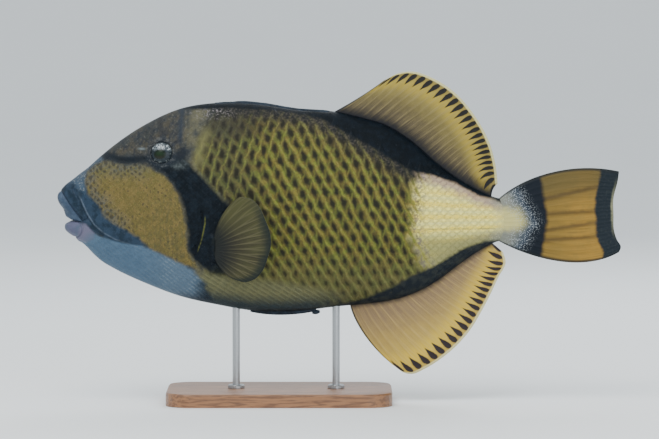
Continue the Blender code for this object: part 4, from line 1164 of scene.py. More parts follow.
class Wires:
    """Short words for building a node tree."""

    def __init__(self, tree):
        self.tree = tree
        self.count = 0

    def node(self, kind, **settings):
        node = self.tree.nodes.new(kind)
        node.location = (220 * (self.count % 12) - 2400, -260 * (self.count // 12))
        self.count += 1
        for key, value in settings.items():
            setattr(node, key, value)
        return node

    def put(self, socket, value):
        if isinstance(value, Signal):
            value = value.socket
        if isinstance(value, bpy.types.NodeSocket):
            self.tree.links.new(value, socket)
        elif value is not None:
            socket.default_value = value

    def signals(self, sockets):
        return [Signal(self, socket) for socket in sockets]

    def made(self, kind, output, *values, **settings):
        """One output of a new node whose first inputs take the values."""
        node = self.node(kind, **settings)
        for socket, value in zip(node.inputs, values):
            self.put(socket, value)
        return Signal(self, node.outputs[output])

    def math(self, operation, *values):
        return self.made("ShaderNodeMath", 0, *values, operation=operation)

    def sqrt(self, value):
        return self.math("SQRT", value)

    def sine(self, value):
        return self.math("SINE", value)

    def maximum(self, first, second):
        return self.math("MAXIMUM", first, second)

    def mix(self, share, first, second):
        """Blend of two colours, each a signal or red, green and blue from 0 to 255."""
        node = self.node("ShaderNodeMix", data_type="RGBA")
        for index, value in ((0, share), (6, first), (7, second)):
            self.put(node.inputs[index], plain(value))
        return Signal(self, node.outputs[2])

    def layers(self, colour, coats):
        """Colour with coats laid over it, each a share and a colour."""
        for share, coat in coats:
            colour = self.mix(share, colour, coat)
        return colour

    def brightened(self, colour, value):
        node = self.node("ShaderNodeHueSaturation")
        self.put(node.inputs["Value"], value)
        self.put(node.inputs["Color"], colour)
        return Signal(self, node.outputs[0])

    def split(self, vector):
        node = self.node("ShaderNodeSeparateXYZ")
        self.put(node.inputs[0], vector)
        return self.signals(node.outputs)

    def field(self, name):
        return self.split(self.made("ShaderNodeAttribute", "Vector", attribute_name=name))

    def joined(self, x, y, z):
        return self.made("ShaderNodeCombineXYZ", 0, x, y, z)

    def place(self, scale=(1.0, 1.0, 1.0)):
        coords = self.made("ShaderNodeTexCoord", "Object")
        mapping = self.node("ShaderNodeMapping")
        self.put(mapping.inputs["Vector"], coords)
        mapping.inputs["Scale"].default_value = scale
        return Signal(self, mapping.outputs[0])

    def side_place(self, place):
        """Millimetres aft of the snout tip and above the body axis."""
        x, _, z = self.split(place)
        return x * 1000.0 + TOTAL_LENGTH / 2, z * 1000.0 - AXIS_HEIGHT

    def noise(self, place, scale, detail=3.0, rough=0.55):
        node = self.node("ShaderNodeTexNoise")
        for label, value in (("Vector", place), ("Scale", scale), ("Detail", detail),
                             ("Roughness", rough)):
            self.put(node.inputs[label], value)
        return Signal(self, node.outputs["Fac"])

    def streaks(self, scale, detail=3.0):
        """Noise drawn out along the axes whose scale is small."""
        return self.noise(self.place(scale), 1.0, detail)

    def cells(self, place, scale):
        node = self.node("ShaderNodeTexVoronoi")
        self.put(node.inputs["Vector"], place)
        self.put(node.inputs["Scale"], scale)
        return Signal(self, node.outputs["Distance"])

    def radius(self, x, z, centre_x, centre_z):
        return self.sqrt((x - centre_x) ** 2.0 + (z - centre_z) ** 2.0)


def new_group(name, inputs):
    """Shader node group with named inputs that gives a colour, a roughness and a height."""
    group = bpy.data.node_groups.new(name, "ShaderNodeTree")
    for label, value in inputs.items():
        kind = "NodeSocketFloat" if isinstance(value, float) else "NodeSocketColor"
        socket = group.interface.new_socket(name=label, in_out="INPUT", socket_type=kind)
        socket.default_value = plain(value)
    for label, kind in (("Color", "NodeSocketColor"), ("Roughness", "NodeSocketFloat"),
                        ("Height", "NodeSocketFloat")):
        group.interface.new_socket(name=label, in_out="OUTPUT", socket_type=kind)
    w = Wires(group)
    given = dict(zip(inputs, w.signals(w.node("NodeGroupInput").outputs)))
    return group, w, given, w.node("NodeGroupOutput").inputs


def cell_places(x, z, net):
    """Place in the cells of a straight net in side view, each way from -0.5 to 0.5."""
    (start_x, start_z), (ax, az), (bx, bz) = net
    area = ax * bz - az * bx
    x = x - start_x
    z = z - start_z
    p = x * (bz / area) + z * (-bx / area)
    q = x * (-az / area) + z * (ax / area)
    return p.fraction(), q.fraction()


def radius_of(w, p, q, wide_p, wide_q):
    return w.sqrt((p * (1 / wide_p)) ** 2.0 + (q * (1 / wide_q)) ** 2.0)


def fish_skin_group(look):
    """Colour, roughness and relief of skin and scales from the marking fields."""
    inputs = {key.title(): look[key] for key in SKIN_COLOURS}
    group, w, given, out = new_group("FishSkin", {**inputs, "Mottle": 0.5, "Relief": 1.0})
    place = w.place()
    x, z = w.side_place(place)
    cheek, dark, lip = w.field("mark_head")
    jaw, pink, fold = w.field("mark_jaw")
    back, belly, rear = w.field("mark_band")
    roll, snout, shadow = w.field("mark_lip")
    front, net_p, net_q = w.field("mark_net")
    eye, slit, level = w.field("mark_fine")
    coarse = w.noise(place, 45.0)
    medium = w.noise(place, 130.0)
    fine = w.noise(place, 420.0, 4.0, 0.6)
    tiny = w.noise(place, 1100.0, 2.0)
    stretched = w.streaks((260.0, 260.0, 55.0))
    ragged = (medium - 0.5) * 9.0

    def edge(value, soft, rag=1.0):
        return (value + ragged * rag).within(soft)

    # Flank net
    wander = w.noise(place, 75.0, 2.0) - 0.5
    along_p = net_p + ((medium - 0.5) * 0.42 + wander * 0.5)
    along_q = net_q + ((coarse - 0.5) * 0.5 + wander * -0.5)
    p = (along_p + w.sine(along_q * (2 * math.pi)) * -0.035).fraction()
    q = (along_q + w.sine(along_p * (2 * math.pi)) * 0.035).fraction()
    leaning = (x - z).ramp(132.0, 176.0)
    centre = w.sqrt((p * leaning.ramp(0.0, 1.0, 2.5, 1.7)) ** 2.0
                    + (q * leaning.ramp(0.0, 1.0, 1.8, 2.6)) ** 2.0)
    centre = centre + (fine - 0.5) * 0.6
    centre = centre / z.ramp(-70.0, 20.0, 0.74, 1.0)
    spot = centre.fall(0.26, 0.93)
    frayed = (fine - 0.5) * 0.24
    strong = (abs(q) + frayed).ramp(0.23, 0.48)
    weak = (abs(p) + frayed).ramp(0.28, 0.5)
    line = w.maximum(strong * leaning.ramp(0.0, 1.0, 0.4, 1.0),
                     weak * leaning.ramp(0.0, 1.0, 0.95, 0.34))
    line = line * w.noise(place, 210.0, 2.0).ramp(0.3, 0.6, 0.55, 1.0)
    ground = w.mix(medium.ramp(0.38, 0.62), given["Net"], (77, 69, 36))
    thread = w.mix(medium.ramp(0.36, 0.64), (116, 122, 46), (120, 110, 48))
    thread = w.mix(tiny.ramp(0.5, 0.7) * 0.45, thread, (148, 142, 90))
    thread = w.mix(fine.ramp(0.55, 0.68) * 0.4, thread, (82, 92, 52))
    stain = w.mix((centre + (medium - 0.5) * 0.8).ramp(0.35, 0.8), given["Spots"], (46, 40, 27))
    nape_dark = (z + ragged * 1.5).ramp(76.0, 98.0) * x.ramp(244.0, 190.0)
    line = line * (1.0 + nape_dark * -0.75)
    high = w.maximum((back + ragged * 0.9).ramp(-30.0, -5.0), nape_dark)
    thread = w.mix(high * 0.6, thread, (96, 90, 62))
    low_flank = z.ramp(-24.0, -74.0)
    thread = w.mix(low_flank * 0.65, thread, (96, 95, 66))
    fore = (x + z * 0.35).ramp(250.0, 205.0) * z.ramp(-30.0, 20.0)
    ground = w.layers(ground, [
        (fine.ramp(0.52, 0.68) * 0.5, (64, 70, 44)),
        (high * 0.85, (44, 41, 34)),
        (low_flank * 0.55, (78, 78, 50)),
        (fore * 0.6, (50, 52, 42)),
    ])
    thread = w.mix(fore * 0.5, thread, (78, 80, 54))
    flank = w.mix(spot * (0.95 + low_flank * -0.25), ground, stain)
    roof = (back + ragged * 1.3).ramp(-13.0, -3.0)
    streak_p, streak_q = cell_places(x, z, BELLY_NET)
    streak_q = streak_q + (medium - 0.5) * 0.5
    streak = (radius_of(w, streak_p, streak_q, 0.62, 0.3) + (fine - 0.5) * 0.9).fall(0.5, 1.2)
    under = w.mix(medium, (104, 101, 70), (94, 97, 72))
    under = w.mix(tiny.ramp(0.5, 0.7) * 0.3, under, (126, 122, 84))
    under = w.mix(streak * 0.34, under, (48, 50, 42))
    under = w.mix((belly + ragged * 0.6).ramp(-20.0, -1.0), under, (44, 54, 58))
    belly_line = (x - 200.0) * -0.16 - 60.0 - z
    ahead = x.fall(262.0, 330.0)
    flank = w.layers(flank, [
        (line * 0.8, thread),
        (roof * 0.8, w.mix(fine.ramp(0.45, 0.62), (24, 27, 30), (60, 56, 52))),
        (belly_line.within(6.0) * ahead, under),
    ])

    # Brow and nape
    brow = w.mix(coarse.ramp(0.4, 0.6), given["Brow"], (62, 59, 50))
    bar_one = (x + z * 0.12 - 122.0).hump(5.5)
    bar_two = (x + z * -0.06 - 126.0).hump(5.0)
    tall = (z + ragged * 0.6).ramp(76.0, 88.0)
    bar_front = (x + z * 0.05 - 100.0).hump(4.2) * z.ramp(101.0, 92.0)
    brow = w.layers(brow, [
        (medium.ramp(0.5, 0.66) * 0.7, (62, 59, 53)),
        (fine.ramp(0.55, 0.7) * 0.6, (96, 96, 90)),
        (stretched.ramp(0.48, 0.62) * 0.7, (36, 40, 46)),
        (x.ramp(128.0, 150.0) * (coarse.ramp(0.35, 0.6) * 0.5), (104, 102, 78)),
        (bar_front * tall * 0.7, (40, 44, 44)),
        (bar_one * tall * 0.7, (42, 42, 42)),
        (bar_two * tall * 0.85, (38, 45, 54)),
    ])
    colour = w.mix(edge(front, 5.0, 1.2), brow, flank)
    nape = (x - 166.0).hump(34.0) * (z - 116.0).hump(13.0)
    nape = w.maximum(nape, (x - 155.0).hump(14.0) * (z - 118.0).hump(8.0))
    pale = (front - 5.0).hump(11.0) * (z.ramp(52.0, 66.0) * z.ramp(104.0, 88.0))
    colour = w.layers(colour, [
        (nape * (fine.ramp(0.5, 0.6) * medium.ramp(0.36, 0.56, 0.25, 0.9)), (122, 116, 118)),
        (pale * coarse.ramp(0.3, 0.6, 0.15, 0.6), (106, 104, 66)),
    ])

    # Tail stalk
    stalk_p, stalk_q = cell_places(x, z, STALK_NET)
    knob = (radius_of(w, stalk_p, stalk_q, 0.42, 0.42) + (fine - 0.5) * 0.5).fall(0.35, 1.1)
    stalk = w.mix(0.25 + knob * 0.6, (196, 186, 108), given["Stalk"])
    fan = z * (1.0 + (x - 385.0) * 0.005)
    rows = w.sine((fan + (medium - 0.5) * 5.0) * (2 * math.pi / 14.6))
    gold_rows = rows.ramp(0.1, 0.9) * z.ramp(34.0, 26.0)
    tick = w.streaks((300.0, 300.0, 620.0))
    violet = w.mix(medium, (158, 132, 128), (128, 104, 112))
    upper = (back + ragged * 1.2).ramp(-15.0, -3.0)
    lower = (belly + ragged * 1.1).ramp(-14.0, -2.0)
    lower_half = z.ramp(-8.0, -26.0) * 0.88
    seam = (z + 9.5).hump(1.2) * medium.ramp(0.4, 0.6, 0.1, 0.6)
    flecks = (rear - 5.0).hump(13.0) * (fine + centre * -0.12).ramp(0.36, 0.46)
    thread_in = rear.ramp(20.0, 4.0) * line
    root = (x + abs(z) * 0.5 + ragged * 0.8).ramp(462.0, 480.0)
    speckle = w.cells(place, 640.0).fall(0.2, 0.36)
    middle = abs(z + ragged * 0.8).ramp(6.0, 17.0)
    ashen = w.mix(middle, (188, 180, 116), (120, 122, 110))
    ashen = w.mix(speckle * 0.5, ashen, (202, 198, 170))
    stalk = w.layers(stalk, [
        (gold_rows * (0.55 + knob * 0.35), (228, 202, 76)),
        (rows.ramp(-0.55, -0.95) * 0.4, (190, 192, 136)),
        (tick.ramp(0.54, 0.64) * rows.ramp(-0.2, 0.8, 0.25, 0.6), (168, 148, 70)),
        (tiny.ramp(0.58, 0.72) * 0.4, (248, 240, 184)),
        (upper * 0.8, violet),
        (lower * 0.75, (112, 110, 102)),
        (lower_half, (134, 131, 84)),
        (seam, (92, 98, 78)),
        (flecks * 0.7, (98, 86, 92)),
        (thread_in * 0.5, (178, 168, 84)),
        (root * 0.8, ashen),
    ])
    reach_in = rear + (line * -8.0 + (coarse - 0.5) * 24.0)
    colour = w.mix(edge(reach_in, 9.0, 1.6), colour, stalk)

    # Bands along the fin bases and the belly
    band = w.mix(medium.ramp(0.4, 0.65), given["Band"], (9, 18, 26))
    band = w.mix(fine.ramp(0.6, 0.72) * 0.3, band, (50, 54, 62))
    low_band = w.mix(medium.ramp(0.4, 0.65), (20, 27, 34), (38, 42, 42))
    colour = w.layers(colour, [
        (edge(back, 2.2, 0.3), band),
        (edge(belly, 2.4, 0.35) * x.ramp(190.0, 225.0), low_band),
    ])

    # Dark patch behind the cheek
    night = w.mix(medium.ramp(0.42, 0.62), (7, 15, 22), (15, 24, 32))
    night = w.mix(fine.ramp(0.62, 0.74) * 0.35, night, (62, 70, 78))
    pad = (w.radius(x, z, 174.0, -31.0) + ragged).ramp(22.0, 31.0, 0.95, 0.0)
    smear = (x - 130.0).hump(13.0) * (z - 60.0).hump(8.0)
    colour = w.layers(colour, [
        (w.maximum(edge(dark, 3.0, 0.7), pad), night),
        (smear * medium.ramp(0.35, 0.6, 0.2, 0.8), (96, 104, 104)),
    ])

    # Jaw, lips and snout
    jaw_p, jaw_q = cell_places(x, z, JAW_NET)
    jaw_dots = radius_of(w, jaw_p, jaw_q, 0.4, 0.34).fall(0.4, 1.1)
    steel = w.mix(medium.ramp(0.38, 0.62), given["Jaw"], (76, 98, 118))
    aft = x.ramp(82.0, 128.0)
    jaw_q = jaw_q + (medium - 0.5) * 0.4
    dash = (radius_of(w, jaw_p, jaw_q, 0.5, 0.26) + (fine - 0.5) * 0.9).fall(0.45, 1.15)
    dash = dash * coarse.ramp(0.38, 0.6, 0.35, 1.0)
    corner = (x + ragged * 1.2).ramp(140.0, 160.0) * z.ramp(-56.0, -70.0)
    steel = w.layers(steel, [
        (aft * 0.5, (88, 104, 118)),
        (jaw_dots * 0.3, (52, 70, 88)),
        (dash * (0.08 + aft * 0.26), (138, 152, 162)),
        (fine.ramp(0.52, 0.7) * 0.35, (64, 82, 100)),
        (belly.ramp(-14.0, 2.0) * x.ramp(100.0, 140.0), (50, 60, 72)),
        (corner, (34, 44, 52)),
    ])
    slate = w.mix(medium.ramp(0.36, 0.64), given["Slate"], (42, 56, 72))
    slate = w.mix(fine.ramp(0.55, 0.72) * 0.3, slate, (68, 80, 92))
    behind = (x + z * 0.66).ramp(38.0, 44.0)
    slate = w.mix(behind * medium.ramp(0.35, 0.6, 0.1, 0.45), slate, (40, 57, 74))
    speck = w.mix(fine.ramp(0.5, 0.66), (60, 76, 92), (112, 120, 126))
    front_roll = w.mix(medium.ramp(0.35, 0.65), (70, 84, 102), (54, 68, 86))
    crease = (roll + 0.9).hump(1.1) * lip.ramp(-1.0, 1.0)
    lilac = w.mix(medium.ramp(0.35, 0.65), given["Lip"], (84, 86, 108))
    patch_two = (x - z * 0.3).ramp(24.0, 30.0)
    lilac = w.mix(patch_two * 0.7, lilac, (104, 100, 120))
    fade = (x - z).ramp(42.0, 58.0, 1.0, 0.35)
    bulb = w.radius(x, z, 16.0, -10.0)
    fold_line = fold.hump(1.25) * z.ramp(30.0, 22.0)
    colour = w.layers(colour, [
        (edge(jaw, 3.4, 0.9), steel),
        (edge(lip, 1.6, 0.25), slate),
        (edge(snout, 3.0, 0.5) * 0.85, speck),
        (edge(roll, 0.9, 0.12), front_roll),
        (crease * 0.6, (34, 42, 58)),
        (edge(pink, 1.6, 0.2) * fade, lilac),
        ((bulb - 10.2).hump(1.5) * (x.ramp(16.0, 22.0) * 0.45), (56, 60, 80)),
        (fold_line * medium.ramp(0.35, 0.6, 0.2, 0.55), (106, 118, 132)),
    ])

    # Cheek with rows of dots
    dot_p, dot_q = cell_places(x + (coarse - 0.5) * 14.0, z + wander * 13.0, HEAD_NET)
    near_edge = cheek.fall(2.0, 22.0) * (x + z * -0.35).fall(62.0, 92.0)
    size = 0.19 + near_edge * 0.15
    size = size * w.noise(place, 190.0, 1.0).ramp(0.3, 0.7, 0.55, 1.35)
    slant = (dot_p + dot_q) * 0.75
    ring = w.sqrt(slant ** 2.0 + ((dot_p - dot_q) * 0.5) ** 2.0)
    ring = (ring + (fine - 0.5) * 0.3) / size
    patchy = (coarse + medium * 0.5 + near_edge * 0.4).ramp(0.66, 1.02, 0.16, 0.9)
    dots = ring.fall(0.5, 1.1) * patchy
    ochre = w.mix(medium.ramp(0.38, 0.64), given["Cheek"], (104, 90, 52))
    comb = w.streaks((560.0, 560.0, 110.0))
    ochre = w.layers(ochre, [
        (fine.ramp(0.5, 0.7) * 0.5, (90, 90, 50)),
        (tiny.ramp(0.52, 0.7) * 0.35, (136, 120, 70)),
        (stretched.ramp(0.5, 0.62) * (x - z * 0.8).ramp(70.0, 130.0, 0.06, 0.4), (72, 70, 48)),
        (z.ramp(34.0, 58.0) * 0.45, (84, 84, 48)),
        (near_edge * medium.ramp(0.36, 0.6, 0.15, 0.7), (82, 82, 74)),
        (near_edge.ramp(0.3, 1.0) * fine.ramp(0.5, 0.6, 0.0, 0.6), (54, 62, 68)),
        (comb.ramp(0.5, 0.62) * (x - z * 0.8).ramp(60.0, 130.0, 0.1, 0.5), (78, 76, 50)),
    ])
    cheek_colour = w.mix(dots * 0.85, ochre, (50, 48, 42))
    colour = w.mix(edge(cheek, 2.4, 0.75), colour, cheek_colour)

    # Shadowed groove before and behind the eye
    gloom = (shadow + ragged * 0.5).fall(2.0, 7.5) * 0.88
    turn = w.math("ARCTAN2", z - EYE_PLACE[1], x - EYE_PLACE[0])
    spokes = w.noise(w.joined(turn * 3.2, eye * 0.04, 2.0), 1.0)
    spokes = spokes.ramp(0.46, 0.56) * (eye.ramp(14.0, 36.0, 0.95, 0.0) * z.ramp(60.0, 76.0))
    lid = (eye + ragged * 0.3).ramp(12.5, 19.0, 0.55, 0.0)
    # Painted highlight: a pale spot laid over the nostrils.
    nostril_painted_highlight = (x - 90.5).hump(6.5) * (z - 76.0).hump(2.2)
    gill = slit.hump(1.6) * 0.8
    behind_slit = (x - (z * 0.2 + 155.0)).ramp(0.4, 1.8)
    gill_edge = (slit - 3.2).hump(1.3) * (behind_slit * z.ramp(7.0, 1.0))
    colour = w.layers(colour, [
        (gloom, (20, 28, 36)),
        (spokes, (34, 37, 42)),
        (lid, w.mix(fine.ramp(0.5, 0.62), (38, 44, 50), (92, 94, 94))),
        (nostril_painted_highlight * 0.5, (126, 136, 138)),
        (gill, (8, 11, 14)),
        (gill_edge * medium.ramp(0.38, 0.58, 0.1, 0.6), (104, 106, 44)),
    ])
    freckle = (tiny - 0.5) * (given["Mottle"] * 0.7)
    w.put(out["Color"], w.brightened(colour, 1.0 + freckle))
    rough = 0.42 + fine * 0.2
    wet = w.maximum(lip.within(2.0), pink.within(2.0))
    w.put(out["Roughness"], rough - wet * 0.12)
    grain = w.cells(place, 900.0)
    height = fine * 0.45 + grain * 0.35
    height = height + level.ramp(0.2, 0.9) * 0.15
    w.put(out["Height"], height * given["Relief"])
    return group


def finish_material(name, roughness=0.5, coat=0.0, metallic=0.0, coat_rough=0.1, specular=0.5):
    """New material with its shader's plain values set, and wires to add to it."""
    material = bpy.data.materials.new(name)
    material.use_nodes = True
    tree = material.node_tree
    tree.nodes.clear()
    w = Wires(tree)
    shader = w.node("ShaderNodeBsdfPrincipled")
    for label, value in (("Roughness", roughness), ("Metallic", metallic), ("Coat Weight", coat),
                         ("Coat Roughness", coat_rough), ("Specular IOR Level", specular)):
        shader.inputs[label].default_value = value
    tree.links.new(shader.outputs[0], w.node("ShaderNodeOutputMaterial").inputs[0])
    return material, w, shader.inputs


def finish(w, sockets, colour, rough, height, distance, strength=1.0):
    """Wire a shader's colour, its roughness where that varies, and its grain."""
    w.put(sockets["Base Color"], colour)
    w.put(sockets["Roughness"], rough)
    node = w.node("ShaderNodeBump")
    node.inputs["Distance"].default_value = distance
    node.inputs["Strength"].default_value = strength
    w.put(node.inputs["Height"], height)
    w.put(sockets["Normal"], node.outputs[0])


def group_material(name, group, values, distance, shine, extra=None):
    """Material whose colour, roughness and relief come from a shared group."""
    material, w, sockets = finish_material(name, coat=0.02, coat_rough=0.3, **shine)
    node = w.node("ShaderNodeGroup")
    node.node_tree = group
    for label, value in values.items():
        node.inputs[label].default_value = plain(value)
    colour, rough, height = w.signals(node.outputs)
    finish(w, sockets, extra(w, colour) if extra else colour, rough, height, distance)
    return material


def skin_material(name, look, mottle=0.6, relief=0.8):
    """Skin or scale material with the fish's colours."""
    colours = look_values(look, *SKIN_COLOURS)
    group = bpy.data.node_groups.get("FishSkin") or fish_skin_group(colours)
    values = {key.title(): colours[key] for key in SKIN_COLOURS}
    return group_material(name, group, {**values, "Mottle": mottle, "Relief": relief},
                          look.relief, {"specular": 0.09})


def fin_group():
    """Shared fin effect: ray and membrane colours, dashes, margin and ray relief."""
    group, w, given, out = new_group("FinRays", {
        "Root": (122, 112, 72), "Outer": (190, 160, 70), "Ray": (206, 184, 110),
        "Dash": (32, 30, 27), "Margin": (206, 200, 150), "Gold": (206, 166, 52),
        "Dash Start": 2.4, "Dash End": 19.5, "Dash Half Width": 0.36, "Dash Strength": 1.0,
        "Margin Width": 2.7, "Lead Dark": 0.9, "Glow": 0.6})
    place = w.place()
    medium = w.noise(place, 120.0)
    fine = w.noise(place, 500.0)
    phase, t, margin = w.field("fin_ray")
    span, ray, run = w.field("fin_span")
    strand = w.noise(w.joined(phase * 9.0, run * 0.05, 0.0), 1.0)
    off = abs(phase.fraction())
    smoky = t + (medium - 0.5) * 0.3
    colour = w.mix(smoky.ramp(0.12, 0.92), given["Root"], given["Outer"])
    inside = margin + (medium - 0.5) * 8.0 - given["Dash End"]
    golden = (inside + 2.0).hump(16.0) * given["Glow"]
    threads = w.noise(w.joined(phase * 30.0, run * 0.03, 4.0), 1.0, 2.0)
    colour = w.layers(colour, [
        (golden, given["Gold"]),
        (threads.ramp(0.48, 0.66) * 0.45, given["Ray"]),
        (ray.ramp(0.3, 0.9) * strand.ramp(0.3, 0.7, 0.1, 0.45), given["Ray"]),
    ])
    colour = w.brightened(colour, 0.86 + strand * 0.26)
    wobble = (medium - 0.5) * 3.6
    long = margin + wobble
    middle = (given["Dash Start"] + given["Dash End"]) * 0.5
    reach = (given["Dash End"] - given["Dash Start"]) * 0.5
    lengthwise = (long - middle) / reach
    inward = lengthwise.ramp(-0.6, 1.1, 1.0, 0.2)
    crosswise = off / (given["Dash Half Width"] * inward)
    oval = w.sqrt(abs(lengthwise) ** 4.0 + crosswise ** 2.0)
    oval = oval + (fine - 0.5) * 0.35
    halo = oval.fall(0.95, 1.75)
    dash = oval.fall(0.86, 1.08)
    rim = (margin + wobble * 0.25) / given["Margin Width"]
    lead = span.fall(0.008, 0.02) * given["Lead Dark"]
    colour = w.layers(colour, [
        (halo * (given["Dash Strength"] * 0.35), (96, 74, 34)),
        (dash * given["Dash Strength"], given["Dash"]),
        (rim.fall(0.7, 1.15) * 0.85, given["Margin"]),
        (lead, (48, 46, 44)),
    ])
    w.put(out["Color"], colour)
    w.put(out["Roughness"], 0.38 + fine * 0.22)
    joints = w.sine(run * 4.2)
    branch = joints.ramp(0.2, 0.9) * (ray * t.ramp(0.2, 0.4))
    height = threads * 0.5 + branch * 0.12
    w.put(out["Height"], height + fine * 0.2)
    return group


def fin_material(name, values, extra):
    group = bpy.data.node_groups.get("FinRays") or fin_group()
    return group_material(name, group, values, 0.0004, {"roughness": 0.45, "specular": 0.1}, extra)


def foot_of_fin(dark, reach, soft):
    """Darker band along a fin's foot, ragged by the noise."""

    def paint(w, colour):
        run = w.field("fin_span")[2]
        noise = w.noise(w.place(), 160.0)
        foot = (run + (noise - 0.5) * 6.0).ramp(reach - soft, reach + soft, 1.0, 0.0)
        return w.mix(foot, colour, dark)

    return paint


def side_fin_shade(w, colour):
    """Dark foot, brown streaks and a soft dark outer band on a side fin, and painted light that
    makes its inner face paler.
    """
    phase, _, margin = w.field("fin_ray")
    span, ray, run = w.field("fin_span")
    patch = w.noise(w.place(), 90.0)
    outer = (margin + (patch - 0.5) * 8.0).ramp(2.0, 13.0, 0.85, 0.0)
    foot = (run + (patch - 0.5) * 8.0).fall(6.0, 32.0)
    colour = w.layers(colour, [
        (strand_noise(w, phase, run).ramp(0.45, 0.62) * 0.72, (40, 35, 32)),
        (ray.ramp(0.5, 0.95) * 0.36, (98, 94, 72)),
        (span.ramp(0.4, 0.0) * 0.5, (74, 74, 44)),
        (outer * span.ramp(0.05, 0.35), (26, 34, 34)),
        (foot * 0.92, (28, 31, 32)),
    ])
    # Painted light: the inner face, turned to the body and in its shade, is made paler than the
    # outer face.
    inner = w.field("fin_face")[0]
    return w.mix(inner * 0.6, colour, (150, 142, 96))


def strand_noise(w, phase, run):
    return w.noise(w.joined(phase * 22.0, run * 0.03, 1.0), 1.0, 2.0)


TAIL_STREAKS = ((21.8, 0.237), (5.7, 0.044), (-11.7, 0.151), (-22.0, 0.06))


def tail_bars(w, colour):
    """Grey speckled base, inner black bar, gold middle and outer black bar."""
    phase, _, margin = w.field("fin_ray")
    span, _, run = w.field("fin_span")
    place = w.place()
    x, z = w.side_place(place)
    noise = w.noise(place, 110.0)
    fine = w.noise(place, 420.0)
    ragged = (noise - 0.5) * 9.0
    along = (x + ragged).ramp(522.0, 566.0)
    gold = w.mix(along * noise.ramp(0.3, 0.6, 0.4, 1.0), colour, (148, 114, 48))
    gold = w.layers(gold, [
        (strand_noise(w, phase, run).ramp(0.46, 0.62) * 0.45, (92, 74, 38)),
        (span.ramp(0.46, 0.12) * 0.75, (80, 72, 44)),
    ])
    for height, climb in TAIL_STREAKS:
        far = z + (noise - 0.5) * 3.0 - ((x - 522.0) * climb + height)
        streak = far.hump(4.4) * x.ramp(560.0, 590.0, 0.62, 0.25)
        gold = w.mix(streak, gold, (60, 48, 32))
    lift = abs(z + 3.0) * 0.55
    place_x = x + ragged + lift
    middle = abs(z + ragged).ramp(6.0, 17.0)
    grey = w.mix(place_x.ramp(488.0, 508.0), w.mix(middle, (186, 178, 114), (118, 120, 110)),
                 (52, 62, 74))
    speckle = w.cells(place, 760.0).fall(0.2, 0.42)
    worn = place_x.ramp(482.0, 494.0) * place_x.ramp(522.0, 508.0, 0.0, 0.85)
    grey = w.layers(grey, [
        (place_x.ramp(504.0, 514.0), (17, 24, 32)),
        (speckle * worn, (172, 178, 182)),
    ])
    bulge = abs(z + 1.0) * -0.16 + 522.0
    base = (x + ragged * 0.5 - bulge).fall(-3.0, 2.6)
    result = w.mix(base, gold, grey)
    inner_edge = margin + (ragged * 0.5 + (strand_noise(w, phase, run) - 0.5) * 5.0)
    bar = inner_edge.fall(17.5, 21.5)
    rim = (margin + ragged * 0.4).fall(1.2, 3.6)
    rim = rim * (span - 0.45).hump(0.42)
    result = w.layers(result, [
        (bar, w.mix(fine.ramp(0.5, 0.7), (26, 34, 40), (38, 44, 47))),
        (rim * 0.75, (146, 144, 114)),
    ])
    edge = w.math("MINIMUM", span, 1.0 - span)
    line = edge.fall(0.012, 0.04)
    return w.mix(line * 0.85, result, (30, 34, 36))


def eye_material(look):
    """Dark green pupil low in a pale speckled iris, under a clear coat."""
    material, w, sockets = finish_material("EyeGlass", roughness=0.4, coat=0.22, coat_rough=0.06,
                                           specular=0.06)
    a, b, _ = w.field("eye_place")
    place = w.place()
    noise = w.noise(place, 500.0)
    far = w.sqrt(a ** 2.0 + b ** 2.0)
    turn = w.math("ARCTAN2", b + 2.5, a)
    spokes = w.noise(w.joined(turn * 7.5, far * 0.14, 0.0), 1.0, 2.0)
    specks = w.cells(w.joined(turn * 4.2, far * 0.42, 0.0), 1.0)
    pale = (b + (noise - 0.5) * 5.0).ramp(0.0, 4.5)
    iris = w.mix(pale, look["iris_low"], look["iris"])
    glow = (a + 0.5).hump(5.0) * (b - 6.4).hump(4.4)
    ring = (far + (noise - 0.5) * 3.0).ramp(8.4, 11.8)
    iris = w.layers(iris, [
        (specks.fall(0.3, 0.52) * far.ramp(2.0, 8.0, 0.45, 0.95), (36, 42, 46)),
        (spokes.ramp(0.43, 0.52) * far.ramp(2.0, 6.0, 0.4, 0.9), (42, 50, 56)),
        (glow * specks.ramp(0.2, 0.5, 0.1, 0.4), look["iris"]),
        (ring * 0.7, w.mix(specks.ramp(0.24, 0.42), (128, 134, 132), (34, 42, 48))),
    ])
    pupil = w.sqrt(((a + 0.8) * (1 / 6.8)) ** 2.0 + ((b + 2.8) * (1 / 5.0)) ** 2.0)
    green = w.mix(pupil.ramp(0.1, 1.0), (26, 44, 26), look["pupil"])
    green = w.mix(b.ramp(-2.5, -6.5) * 0.6, green, (34, 32, 24))
    edge = (pupil + (noise - 0.5) * 0.3).fall(0.86, 1.12)
    colour = w.mix(edge, iris, green)
    finish(w, sockets, colour, None, spokes, 0.0002, 0.3)
    return material


def wood_material(look):
    material, w, sockets = finish_material("StandWood", roughness=0.4, coat=0.25, coat_rough=0.2)
    grain_place = w.place((3.0, 42.0, 42.0))
    rings = w.noise(grain_place, 2.4, 5.0, 0.62)
    fine = w.streaks((14.0, 420.0, 420.0))
    pores = w.streaks((60.0, 1500.0, 1500.0), 2.0).ramp(0.6, 0.72)
    bands = w.math("FRACT", rings * 7.0)
    late = abs(bands - 0.5).ramp(0.1, 0.5)
    colour = w.mix(late, look["wood"], look["wood_dark"])
    colour = w.layers(colour, [
        (fine * 0.35, (96, 62, 38)),
        (pores * 0.5, (52, 34, 22)),
    ])
    finish(w, sockets, colour, 0.34 + fine * 0.2, late * 0.4 - pores * 0.6, 0.00025, 0.6)
    return material


